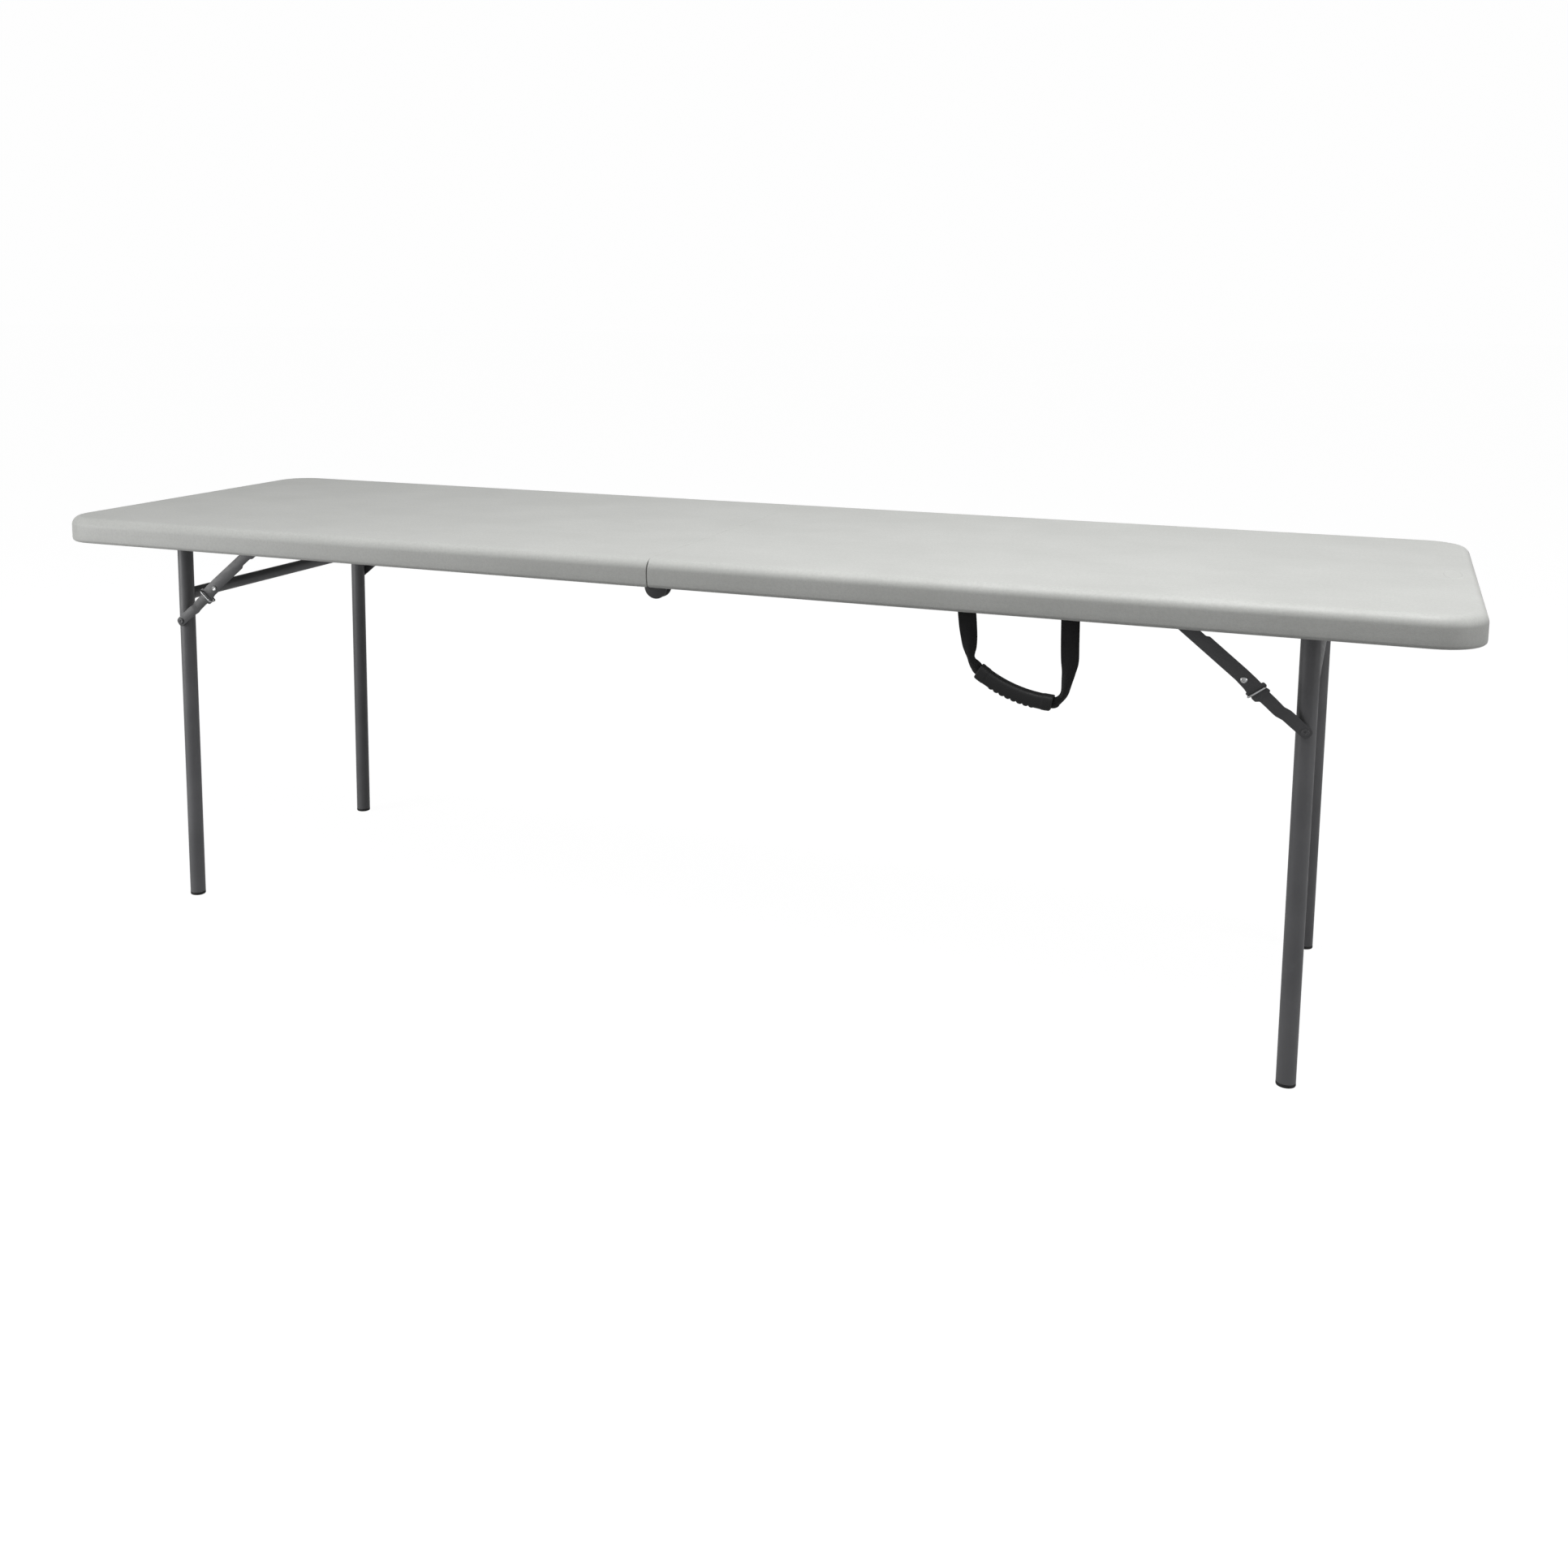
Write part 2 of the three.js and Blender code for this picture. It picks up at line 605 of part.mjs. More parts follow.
function makeStrap() {
  const gripPoints = gripLine.getPoints(12);
  const leftFall = [[STRAP_LEFT_X, strapTop], [514.3, 662], [516.8, 636], [521, 611]];
  const rightRise = [[653.5, 562], [660.5, 573.5], [664, 595], [667, 628], [STRAP_RIGHT_X, strapTop]];
  const toVector = ([x, z]) => new THREE.Vector2(x, z);
  const route = new THREE.SplineCurve(
    [...leftFall.map(toVector), ...gripPoints, ...rightRise.map(toVector)]);
  const edges = [[], []];
  for (let i = 0; i <= STRAP_STEPS; i += 1) {
    const t = i / STRAP_STEPS;
    const point = route.getPoint(t);
    const atAnchor = i === 0 || i === STRAP_STEPS;
    const along = atAnchor ? new THREE.Vector2(0, i === 0 ? -1 : 1) : route.getTangent(t);
    const across = new THREE.Vector2(-along.y, along.x);
    const spread = THREE.MathUtils.smoothstep(point.y, GRIP_START.y + 6, GRIP_START.y + 50);
    const reach = THREE.MathUtils.lerp(STRAP_HALF_IN_GRIP, STRAP_HALF_WIDTH, spread);
    edges[0].push(point.clone().addScaledVector(across, reach));
    edges[1].push(point.clone().addScaledVector(across, -reach));
  }
  const shape = new THREE.Shape([...edges[0], ...edges[1].reverse()]);
  return plate(shape, STRAP_THICKNESS).translate(0, HANDLE_Y - STRAP_THICKNESS / 2, 0);
}

function makeGrip() {
  const tall = GRIP_HALF_HEIGHT;
  const deep = GRIP_HALF_DEPTH;
  const section = roundedRectangle(-deep, -tall, deep, tall, GRIP_CORNER_R);
  const channelTall = STRAP_HALF_IN_GRIP + 1.5 * GRIP_CLEARANCE;
  const channelDeep = STRAP_THICKNESS / 2 + GRIP_CLEARANCE;
  section.holes.push(roundedRectangle(
    -channelDeep, -channelTall, channelDeep, channelTall, GRIP_CHANNEL_CORNER_R, THREE.Path));
  const lift = (p) => new THREE.Vector3(p.x, HANDLE_Y, p.y);
  const route = new THREE.QuadraticBezierCurve3(lift(GRIP_START), lift(gripBend), lift(GRIP_END));
  return new THREE.ExtrudeGeometry(section, {
    steps: 8, curveSegments: 2, bevelEnabled: false, extrudePath: route });
}

// An angle under the rail whose lip holds the end of the strap
function makeAnchor() {
  const lipOuter = -recessHalfWidth + GAP;
  const lipInner = lipOuter + ANCHOR_LIP;
  const lipEnd = rimBottom - GAP;
  const shelfTop = railTop - RAIL_HEIGHT - GAP;
  const shelfBottom = shelfTop - ANCHOR_SHELF;
  const shelfEnd = -railInnerY - ANCHOR_PAST_RAIL;
  const shape = new THREE.Shape();
  shape.setFromPoints([
    new THREE.Vector2(lipOuter, lipEnd),
    new THREE.Vector2(lipInner, lipEnd),
    new THREE.Vector2(lipInner, shelfBottom),
    new THREE.Vector2(shelfEnd, shelfBottom),
    new THREE.Vector2(shelfEnd, shelfTop),
    new THREE.Vector2(lipOuter, shelfTop),
  ]);
  const angle = new THREE.ExtrudeGeometry(shape, { depth: 2 * ANCHOR_HALF_WIDTH, bevelEnabled: false });
  // The outline's X goes to Y and its Y to Z, and the length runs along X
  return angle.applyMatrix4(
    new THREE.Matrix4().set(0, 0, 1, -ANCHOR_HALF_WIDTH, 1, 0, 0, 0, 0, 1, 0, 0, 0, 0, 0, 1));
}

addMesh('handle_strap', makeStrap(), webbing);
addMesh('handle_grip', makeGrip(), rubber);
const anchor = makeAnchor();
addMesh('handle_anchor_left', anchor, steel).position.x = STRAP_LEFT_X;
addMesh('handle_anchor_right', anchor, steel).position.x = STRAP_RIGHT_X;

export default table;
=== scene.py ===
"""Looks of the fold-in-half banquet table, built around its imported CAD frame."""
import math

import bmesh
import bpy
from mathutils import Matrix, Vector


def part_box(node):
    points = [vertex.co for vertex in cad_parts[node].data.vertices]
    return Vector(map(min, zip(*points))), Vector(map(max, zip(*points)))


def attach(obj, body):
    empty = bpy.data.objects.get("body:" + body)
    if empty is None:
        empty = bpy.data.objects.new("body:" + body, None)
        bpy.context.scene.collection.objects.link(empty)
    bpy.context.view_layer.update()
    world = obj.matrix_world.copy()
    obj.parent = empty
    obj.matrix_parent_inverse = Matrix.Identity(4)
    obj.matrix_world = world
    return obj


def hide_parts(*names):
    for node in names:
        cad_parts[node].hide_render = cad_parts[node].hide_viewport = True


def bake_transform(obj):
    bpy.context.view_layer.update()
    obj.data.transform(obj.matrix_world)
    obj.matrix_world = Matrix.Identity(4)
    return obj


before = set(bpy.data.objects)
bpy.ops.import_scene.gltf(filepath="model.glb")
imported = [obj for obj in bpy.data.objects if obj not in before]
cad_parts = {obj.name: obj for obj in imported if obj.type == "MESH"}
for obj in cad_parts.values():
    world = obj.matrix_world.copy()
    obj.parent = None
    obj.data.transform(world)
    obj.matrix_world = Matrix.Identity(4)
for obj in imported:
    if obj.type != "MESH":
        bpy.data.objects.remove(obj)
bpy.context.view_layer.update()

MM = 0.001
SIDES = {"left": -1, "right": 1}
ROWS = {"front": -1, "rear": 1}

top_low, top_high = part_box("right_top")
HALF_LENGTH = top_high.x
HALF_WIDTH = top_high.y
TOP_Z = top_high.z
RIM_Z = top_low.z


def middle(node):
    low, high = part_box(node)
    return (low + high) / 2


def depth(node):
    """How far from the centre plane a node starts and ends."""
    low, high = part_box(node)
    return sorted((abs(low.y), abs(high.y)))


# Materials

def material(name, colour, roughness, metallic=0.0):
    made = bpy.data.materials.new(name)
    made.use_nodes = True
    shader = made.node_tree.nodes["Principled BSDF"]
    shader.inputs["Base Color"].default_value = (*colour, 1)
    shader.inputs["Roughness"].default_value = roughness
    shader.inputs["Metallic"].default_value = metallic
    return made, made.node_tree, shader


def texture(tree, kind, scale, stretch=(1, 1, 1), **values):
    """A texture node that stays fixed to the piece, with its scale in features per metre."""
    source = tree.nodes.new("ShaderNodeTexCoord")
    mapping = tree.nodes.new("ShaderNodeMapping")
    mapping.inputs["Scale"].default_value = stretch
    tree.links.new(source.outputs["Object"], mapping.inputs["Vector"])
    node = tree.nodes.new(kind)
    tree.links.new(mapping.outputs["Vector"], node.inputs["Vector"])
    node.inputs["Scale"].default_value = scale
    for key, value in values.items():
        node.inputs[key].default_value = value
    return node


def remap(tree, value, low, high, out_low=0.0, out_high=1.0):
    node = tree.nodes.new("ShaderNodeMapRange")
    for key, number in zip(("From Min", "From Max", "To Min", "To Max"), (low, high, out_low, out_high)):
        node.inputs[key].default_value = number
    tree.links.new(value, node.inputs["Value"])
    return node.outputs["Result"]


def mixed(tree, factor, first, second):
    """A colour mix. first and second are colours or sockets."""
    node = tree.nodes.new("ShaderNodeMix")
    node.data_type = "RGBA"
    colours = [s for s in node.inputs if s.type == "RGBA"]
    for socket, value in zip(colours, (first, second)):
        if isinstance(value, bpy.types.NodeSocket):
            tree.links.new(value, socket)
        else:
            socket.default_value = (*value, 1)
    tree.links.new(factor, node.inputs["Factor"])
    return [s for s in node.outputs if s.type == "RGBA"][0]


def arithmetic(tree, operation, *values):
    node = tree.nodes.new("ShaderNodeMath")
    node.operation = operation
    for socket, value in zip(node.inputs, values):
        if isinstance(value, bpy.types.NodeSocket):
            tree.links.new(value, socket)
        else:
            socket.default_value = value
    return node.outputs["Value"]


def bumped(tree, shader, height, strength, distance, below=None):
    node = tree.nodes.new("ShaderNodeBump")
    node.inputs["Strength"].default_value = strength
    node.inputs["Distance"].default_value = distance
    tree.links.new(height, node.inputs["Height"])
    if below is not None:
        tree.links.new(below, node.inputs["Normal"])
    tree.links.new(node.outputs["Normal"], shader.inputs["Normal"])
    return node.outputs["Normal"]


def moulded_plastic():
    """Pale grey blow-moulded polyethylene: pebble grain, faint flow mottling and light scuffs."""
    pale, dull = (0.585, 0.592, 0.572), (0.550, 0.557, 0.537)
    made, tree, shader = material("moulded_plastic", pale, 0.5)
    mottle = texture(tree, "ShaderNodeTexNoise", 7, Detail=4, Roughness=0.55)
    grain = texture(tree, "ShaderNodeTexNoise", 700, Detail=2, Roughness=0.6)
    pebble = texture(tree, "ShaderNodeTexVoronoi", 640, Randomness=1.0)
    flecks = texture(tree, "ShaderNodeTexNoise", 240, Detail=3, Roughness=0.7)
    scuff = texture(tree, "ShaderNodeTexNoise", 14, stretch=(1, 22, 1), Detail=6, Roughness=0.7)
    tone = remap(tree, mottle.outputs["Fac"], 0.35, 0.65)
    base = mixed(tree, tone, dull, pale)
    speck = remap(tree, grain.outputs["Fac"], 0.3, 0.7, 0.0, 0.14)
    base = mixed(tree, speck, base, (0.34, 0.345, 0.33))
    fleck = remap(tree, flecks.outputs["Fac"], 0.42, 0.62, 0.0, 0.26)
    base = mixed(tree, fleck, base, (0.42, 0.425, 0.41))
    rubbed = remap(tree, scuff.outputs["Fac"], 0.66, 0.74, 0.0, 0.07)
    base = mixed(tree, rubbed, base, (0.74, 0.745, 0.73))
    tree.links.new(base, shader.inputs["Base Color"])
    gloss = remap(tree, scuff.outputs["Fac"], 0.3, 0.7, 0.44, 0.56)
    tree.links.new(gloss, shader.inputs["Roughness"])
    wave = texture(tree, "ShaderNodeTexNoise", 3.2, Detail=1, Roughness=0.4)
    soft = bumped(tree, shader, wave.outputs["Fac"], 0.12, 0.004)
    fine = arithmetic(tree, "ADD", grain.outputs["Fac"], pebble.outputs["Distance"])
    bumped(tree, shader, fine, 0.17, 0.0004, soft)
    shader.inputs["Specular IOR Level"].default_value = 0.42
    return made


def powder_coat(name, low, high):
    """Powder coat on steel: fine orange peel, dust and rubbed spots. low and high are its two tones."""
    made, tree, shader = material(name, low, 0.42)
    peel = texture(tree, "ShaderNodeTexNoise", 900, Detail=3, Roughness=0.6)
    dust = texture(tree, "ShaderNodeTexNoise", 38, Detail=7, Roughness=0.68)
    patch = texture(tree, "ShaderNodeTexNoise", 9, Detail=2, Roughness=0.5)
    tone = remap(tree, patch.outputs["Fac"], 0.35, 0.65)
    base = mixed(tree, tone, low, high)
    dusty = remap(tree, dust.outputs["Fac"], 0.58, 0.75, 0.0, 0.30)
    base = mixed(tree, dusty, base, tuple(1.25 * c for c in high))
    tree.links.new(base, shader.inputs["Base Color"])
    tree.links.new(remap(tree, dust.outputs["Fac"], 0.3, 0.75, 0.36, 0.55), shader.inputs["Roughness"])
    bumped(tree, shader, peel.outputs["Fac"], 0.28, 0.0003)
    return made


def zinc_plate():
    """Bright zinc with fine tumbling marks and a little dulling."""
    made, tree, shader = material("zinc_plate", (0.66, 0.67, 0.68), 0.26, 1.0)
    marks = texture(tree, "ShaderNodeTexNoise", 420, stretch=(1, 1, 4), Detail=5, Roughness=0.7)
    dull = texture(tree, "ShaderNodeTexNoise", 120, Detail=3, Roughness=0.5)
    base = mixed(tree, remap(tree, dull.outputs["Fac"], 0.4, 0.65), (0.60, 0.61, 0.62), (0.40, 0.40, 0.39))
    tree.links.new(base, shader.inputs["Base Color"])
    tree.links.new(remap(tree, dull.outputs["Fac"], 0.3, 0.7, 0.26, 0.46), shader.inputs["Roughness"])
    bumped(tree, shader, marks.outputs["Fac"], 0.2, 0.00015)
    return made


def black_rubber():
    """Soft black rubber with a fine spark-eroded skin and a dusty bloom."""
    made, tree, shader = material("black_rubber", (0.012, 0.012, 0.013), 0.55)
    skin = texture(tree, "ShaderNodeTexNoise", 1500, Detail=2, Roughness=0.5)
    bloom = texture(tree, "ShaderNodeTexNoise", 60, Detail=5, Roughness=0.65)
    base = mixed(tree, remap(tree, bloom.outputs["Fac"], 0.5, 0.75, 0.0, 0.5),
                 (0.009, 0.009, 0.0095), (0.023, 0.023, 0.024))
    shader.inputs["Specular IOR Level"].default_value = 0.36
    tree.links.new(base, shader.inputs["Base Color"])
    tree.links.new(remap(tree, bloom.outputs["Fac"], 0.3, 0.7, 0.48, 0.66), shader.inputs["Roughness"])
    bumped(tree, shader, skin.outputs["Fac"], 0.3, 0.0002)
    return made


def woven_webbing():
    """Black polypropylene webbing. Its UVs are metres across and along the strap."""
    made, tree, shader = material("woven_webbing", (0.012, 0.012, 0.013), 0.8)
    source = tree.nodes.new("ShaderNodeTexCoord")
    split = tree.nodes.new("ShaderNodeSeparateXYZ")
    tree.links.new(source.outputs["UV"], split.inputs["Vector"])
    across, along = split.outputs["X"], split.outputs["Y"]
    # Herringbone: the rows slant one way on even bands and the other way on odd ones
    band = arithmetic(tree, "PINGPONG", across, 0.0042)
    slant = arithmetic(tree, "ADD", along, arithmetic(tree, "MULTIPLY", band, 0.9))
    weft = arithmetic(tree, "SINE", arithmetic(tree, "MULTIPLY", slant, 2 * math.pi / 0.0016))
    warp = arithmetic(tree, "SINE", arithmetic(tree, "MULTIPLY", across, 2 * math.pi / 0.0011))
    weft_share = arithmetic(tree, "MULTIPLY", weft, 0.7)
    warp_share = arithmetic(tree, "MULTIPLY", warp, 0.3)
    weave = arithmetic(tree, "ADD", weft_share, warp_share)
    fuzz = texture(tree, "ShaderNodeTexNoise", 700, Detail=4, Roughness=0.7)
    base = mixed(tree, remap(tree, weave, -1, 1), (0.003, 0.003, 0.0035), (0.012, 0.012, 0.013))
    base = mixed(tree, remap(tree, fuzz.outputs["Fac"], 0.55, 0.8, 0.0, 0.4), base, (0.028, 0.028, 0.029))
    shader.inputs["Specular IOR Level"].default_value = 0.3
    tree.links.new(base, shader.inputs["Base Color"])
    tree.links.new(remap(tree, fuzz.outputs["Fac"], 0.3, 0.7, 0.72, 0.9), shader.inputs["Roughness"])
    bumped(tree, shader, weave, 0.5, 0.0003)
    shader.inputs["Sheen Weight"].default_value = 0.08
    shader.inputs["Sheen Roughness"].default_value = 0.5
    return made


PLASTIC = moulded_plastic()
# The steel frame has one powder coat, given here as two copies. The lighter one on the round legs, bars and
# welds is painted light, for the light the tubes catch from the sides. The darker one on the flat rails,
# links, angles and leg rivets is painted shade.
LIT_TUBE_STEEL = powder_coat("coat_copy_painted_light", (0.126, 0.127, 0.133), (0.158, 0.159, 0.166))
STEEL = powder_coat("coat_copy_painted_shade", (0.074, 0.075, 0.078), (0.094, 0.095, 0.099))
HINGE_STEEL = powder_coat("black_coat", (0.040, 0.041, 0.043), (0.056, 0.057, 0.060))
ZINC = zinc_plate()
RUBBER = black_rubber()
WEBBING = woven_webbing()

for mesh_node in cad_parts.values():
    mesh_node.data.materials.clear()
    mesh_node.data.materials.append(STEEL)


# Mesh helpers. Lengths inside them are in metres.

def angles(count):
    """One turn in equal steps, in radians."""
    return [2 * math.pi * k / count for k in range(count)]


def put(name, data):
    """A new object in the scene."""
    made = bpy.data.objects.new(name, data)
    bpy.context.scene.collection.objects.link(made)
    return made


def piece(name, mesh, look, body, stands_for=(), sharp=math.radians(38)):
    """A finished object from a bmesh, smooth except where faces meet at a sharp angle.

    A piece that bends between two bodies is given no body of its own."""
    bmesh.ops.recalc_face_normals(mesh, faces=mesh.faces[:])
    for face in mesh.faces:
        face.smooth = True
    for edge in mesh.edges:
        edge.smooth = len(edge.link_faces) == 2 and edge.calc_face_angle(0) < sharp
    data = bpy.data.meshes.new(name)
    mesh.to_mesh(data)
    mesh.free()
    data.materials.append(look)
    made = put(name, data)
    if body:
        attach(made, body)
    if stands_for:
        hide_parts(*stands_for)
    return made


def loft(mesh, rings, closed=False):
    """Joins rings of equally many points: the last to the first if closed, and else with end caps."""
    loops = [[mesh.verts.new(point) for point in ring] for ring in rings]
    pairs = list(zip(loops, loops[1:]))
    if closed:
        pairs.append((loops[-1], loops[0]))
    for first, second in pairs:
        for i in range(len(first)):
            j = (i + 1) % len(first)
            mesh.faces.new((first[i], first[j], second[j], second[i]))
    if not closed:
        mesh.faces.new(list(reversed(loops[0])))
        mesh.faces.new(loops[-1])
    return loops


def turned(mesh, profile, place, axis="Y", segments=40):
    """Revolves (radius, height) pairs about the Y or Z axis through place."""
    turn = {"Y": Matrix.Rotation(-math.pi / 2, 4, "X"), "Z": Matrix.Identity(4)}[axis]
    to_place = Matrix.Translation(place) @ turn
    rings = []
    for radius, height in profile:
        points = [Vector((radius * math.cos(a), radius * math.sin(a), height)) for a in angles(segments)]
        rings.append([to_place @ p for p in points])
    closed = profile[0] == profile[-1]
    loft(mesh, rings[:-1] if closed else rings, closed)
    bmesh.ops.remove_doubles(mesh, verts=mesh.verts[:], dist=1e-6)


def arc(centre, radius, start, end, steps):
    """Points on a circle, with the angles in degrees."""
    turns = [math.radians(start + (end - start) * i / steps) for i in range(steps + 1)]
    return [(centre[0] + radius * math.cos(a), centre[1] + radius * math.sin(a)) for a in turns]


def filleted(corners, steps=4):
    """A closed outline through (x, y, radius) corners, each rounded to its radius."""
    outline = []
    for i, (x, y, radius) in enumerate(corners):
        here = Vector((x, y))
        before = Vector(corners[i - 1][:2]) - here
        after = Vector(corners[(i + 1) % len(corners)][:2]) - here
        spread = before.angle(after)
        reach = min(radius / math.tan(spread / 2), 0.499 * before.length, 0.499 * after.length)
        if reach < 1e-7 or radius == 0:
            outline.append((x, y))
            continue
        start, end = here + before.normalized() * reach, here + after.normalized() * reach
        for k in range(steps + 1):
            t = k / steps
            point = start * (1 - t) ** 2 + here * 2 * t * (1 - t) + end * t ** 2
            outline.append(tuple(point))
    return outline


def plate(mesh, outline, thickness, to_place, edge, split_at=()):
    """A flat plate in its own XY plane, from z = 0 to its thickness, with softened edges."""
    start = mesh.faces.new([mesh.verts.new((x, y, 0)) for x, y in outline])
    grown = bmesh.ops.extrude_face_region(mesh, geom=[start])["geom"]
    far_side = [g for g in grown if isinstance(g, bmesh.types.BMVert)]
    bmesh.ops.translate(mesh, vec=(0, 0, thickness), verts=far_side)
    bmesh.ops.recalc_face_normals(mesh, faces=mesh.faces[:])
    rims = [e for e in mesh.edges if len(e.link_faces) == 2 and e.calc_face_angle(0) > math.radians(50)]
    bmesh.ops.bevel(mesh, geom=rims, offset=edge, segments=2, profile=0.5, affect="EDGES",
                    clamp_overlap=True)
    for x in split_at:
        bmesh.ops.bisect_plane(mesh, geom=mesh.verts[:] + mesh.edges[:] + mesh.faces[:],
                               plane_co=(x, 0, 0), plane_no=(1, 0, 0))
    mesh.transform(to_place)


def scaled(outline):
    """Millimetres to metres."""
    return [(x * MM, y * MM) for x, y in outline]


def smoothstep(value, low, high):
    t = min(max((value - low) / (high - low), 0), 1)
    return t * t * (3 - 2 * t)


# Top halves

CORNER_R = 72 * MM
SEAM_CORNER_R = 1.6 * MM
TOP_EDGE_R = 17.4 * MM
BOTTOM_EDGE_R = 6 * MM
SEAM_EDGE_R = 0.4 * MM
SEAM_TOP_GAP = 0.12 * MM
SEAM_SIDE_GAP = 1.0 * MM
SEAM_FOOT_R = 3.5 * MM
SEAM_BOW = 1.5 * MM
SEAM_WAVE = 0.35 * MM
SEAM_WAVE_RATES = (17, 41)  # radians per metre
SEAM_FADE = 25 * MM
SEAM_GAP_FROM = 1 * MM
SEAM_GAP_TO = 9 * MM
RECESS_CORNER_R = 42 * MM
RIM_INSET = 28 * MM
CEILING_INSET = 33 * MM
CEILING_Z = TOP_Z - 12.5 * MM
CEILING_FROM = CEILING_INSET + 6 * MM
CEILING_TO = HALF_WIDTH - 12 * MM
CEILING_STEP = 8 * MM
RIM_WIDTH = 15 * MM
RIM_CORNER_R = 20 * MM
SMALLEST_CORNER_R = 5 * MM
TOP_INSETS = (60 * MM, 36 * MM, 22 * MM, 19 * MM)
RECESS_FOOT_R = 3 * MM
RECESS_ROOF_R = 4 * MM
ALONG_POINTS = 144
ACROSS_POINTS = 86
CORNER_POINTS = 9
DIMPLE_PITCH = 52 * MM
DIMPLE_R = 17 * MM
DIMPLE_DEPTH = 3.2 * MM
SLOT_INBOARD_GAP = 3.5 * MM
SLOT_OUTBOARD_GAP = 1.3 * MM
SLOT_REACH = 60 * MM
SLOT_FOOT_Z = RIM_Z - 20 * MM
OVAL_CENTRE = Vector((1184 * MM, -11 * MM, TOP_Z))
OVAL_LONG_R = 40 * MM
OVAL_SHORT_R = 13 * MM
OVAL_WIRE = 1.8 * MM
OVAL_RISE = 0.7 * MM
OVAL_SUNK = 0.5 * MM
OVAL_POINTS = 72


def half_outline(inset, seam_inset, radius, seam_radius):
    """A rounded rectangle for one half, with X measured out from the seam."""
    x0, x1 = seam_inset, HALF_LENGTH - inset
    y0, y1 = -HALF_WIDTH + inset, HALF_WIDTH - inset
    corners = [((x1 - radius, y0 + radius), radius, -90), ((x1 - radius, y1 - radius), radius, 0),
               ((x0 + seam_radius, y1 - seam_radius), seam_radius, 90),
               ((x0 + seam_radius, y0 + seam_radius), seam_radius, 180)]
    gaps = [ACROSS_POINTS, ALONG_POINTS, ACROSS_POINTS, ALONG_POINTS]
    outline = []
    for k, (centre, r, start) in enumerate(corners):
        outline += arc(centre, r, start, start + 90, CORNER_POINTS)
        following = corners[(k + 1) % 4]
        target = arc(following[0], following[1], following[2], following[2] + 90, CORNER_POINTS)[0]
        last = outline[-1]
        for i in range(1, gaps[k] + 1):
            t = i / (gaps[k] + 1)
            outline.append((last[0] + (target[0] - last[0]) * t, last[1] + (target[1] - last[1]) * t))
    return outline


def seam_shift(x, y, z):
    """The seam isn't quite straight: it bows between top and bottom and wanders across the width."""
    bow = math.sin(math.pi * min(max((z - RIM_Z) / (TOP_Z - RIM_Z), 0), 1))
    slow, quick = SEAM_WAVE_RATES
    wander = math.sin(y * slow) * 0.6 + math.sin(y * quick + 1) * 0.4
    fade = max(0.0, 1 - x / SEAM_FADE)
    return (-SEAM_BOW * bow + SEAM_WAVE * wander) * fade


def dimple(x, y):
    """How far the tack-off dimples of the underside reach down at a point, on a staggered grid."""
    row = round(y / DIMPLE_PITCH)
    offset = DIMPLE_PITCH / 2 if row % 2 else 0
    column = round((x - offset) / DIMPLE_PITCH)
    reach = math.hypot(x - offset - column * DIMPLE_PITCH, y - row * DIMPLE_PITCH)
    return DIMPLE_DEPTH * smoothstep(DIMPLE_R - reach, 0, DIMPLE_R * 0.7)


def half_levels():
    """(inset, seam inset, corner radius, seam corner radius, z) from the top's middle to the recess roof."""
    levels = []

    def seam_at(z):
        """The halves all but touch along the top, and stand a little apart down the rim."""
        up = max(0.0, z - (TOP_Z - SEAM_EDGE_R)) / SEAM_EDGE_R
        down = max(0.0, RIM_Z + SEAM_FOOT_R - z) / SEAM_FOOT_R
        opened = smoothstep(TOP_Z - z, SEAM_GAP_FROM, SEAM_GAP_TO)
        face = SEAM_TOP_GAP + (SEAM_SIDE_GAP - SEAM_TOP_GAP) * opened
        return (face + SEAM_EDGE_R * (1 - math.sqrt(max(0, 1 - up * up)))
                + SEAM_FOOT_R * (1 - math.sqrt(max(0, 1 - down * down))))

    def add(inset, z, seam_inset=None, seam_radius=SEAM_CORNER_R):
        seam = seam_at(z) if seam_inset is None else seam_inset
        levels.append((inset, seam, max(CORNER_R - inset, SMALLEST_CORNER_R), seam_radius, z))

    for inset in TOP_INSETS:
        add(inset, TOP_Z, SEAM_TOP_GAP + SEAM_EDGE_R + (inset - TOP_EDGE_R), 3 * MM)
    for i in range(13):
        a = math.radians(90 * i / 12)
        add(TOP_EDGE_R * (1 - math.sin(a)), TOP_Z - TOP_EDGE_R * (1 - math.cos(a)))
    for share in (0.33, 0.66):
        add(0, TOP_Z - TOP_EDGE_R - share * (TOP_Z - RIM_Z - TOP_EDGE_R - BOTTOM_EDGE_R))
    for i in range(7):
        a = math.radians(90 * i / 6)
        add(BOTTOM_EDGE_R * (1 - math.cos(a)), RIM_Z + BOTTOM_EDGE_R * (1 - math.sin(a)))
    add(RIM_WIDTH, RIM_Z, RIM_WIDTH, RIM_CORNER_R)
    for i in range(4):
        a = math.radians(90 * i / 3)
        inset = RIM_INSET - RECESS_FOOT_R * (1 - math.sin(a))
        add(inset, RIM_Z + RECESS_FOOT_R * (1 - math.cos(a)), inset, RECESS_CORNER_R)
    for i in range(4):
        a = math.radians(90 * i / 3)
        inset = CEILING_INSET - RECESS_ROOF_R * math.cos(a)
        add(inset, CEILING_Z - RECESS_ROOF_R * (1 - math.sin(a)), inset, RECESS_CORNER_R)
    inset = CEILING_FROM
    while inset < CEILING_TO:
        radius = max(RECESS_CORNER_R - (inset - CEILING_INSET), SMALLEST_CORNER_R)
        add(inset, CEILING_Z, inset, radius)
        inset += CEILING_STEP
    return levels


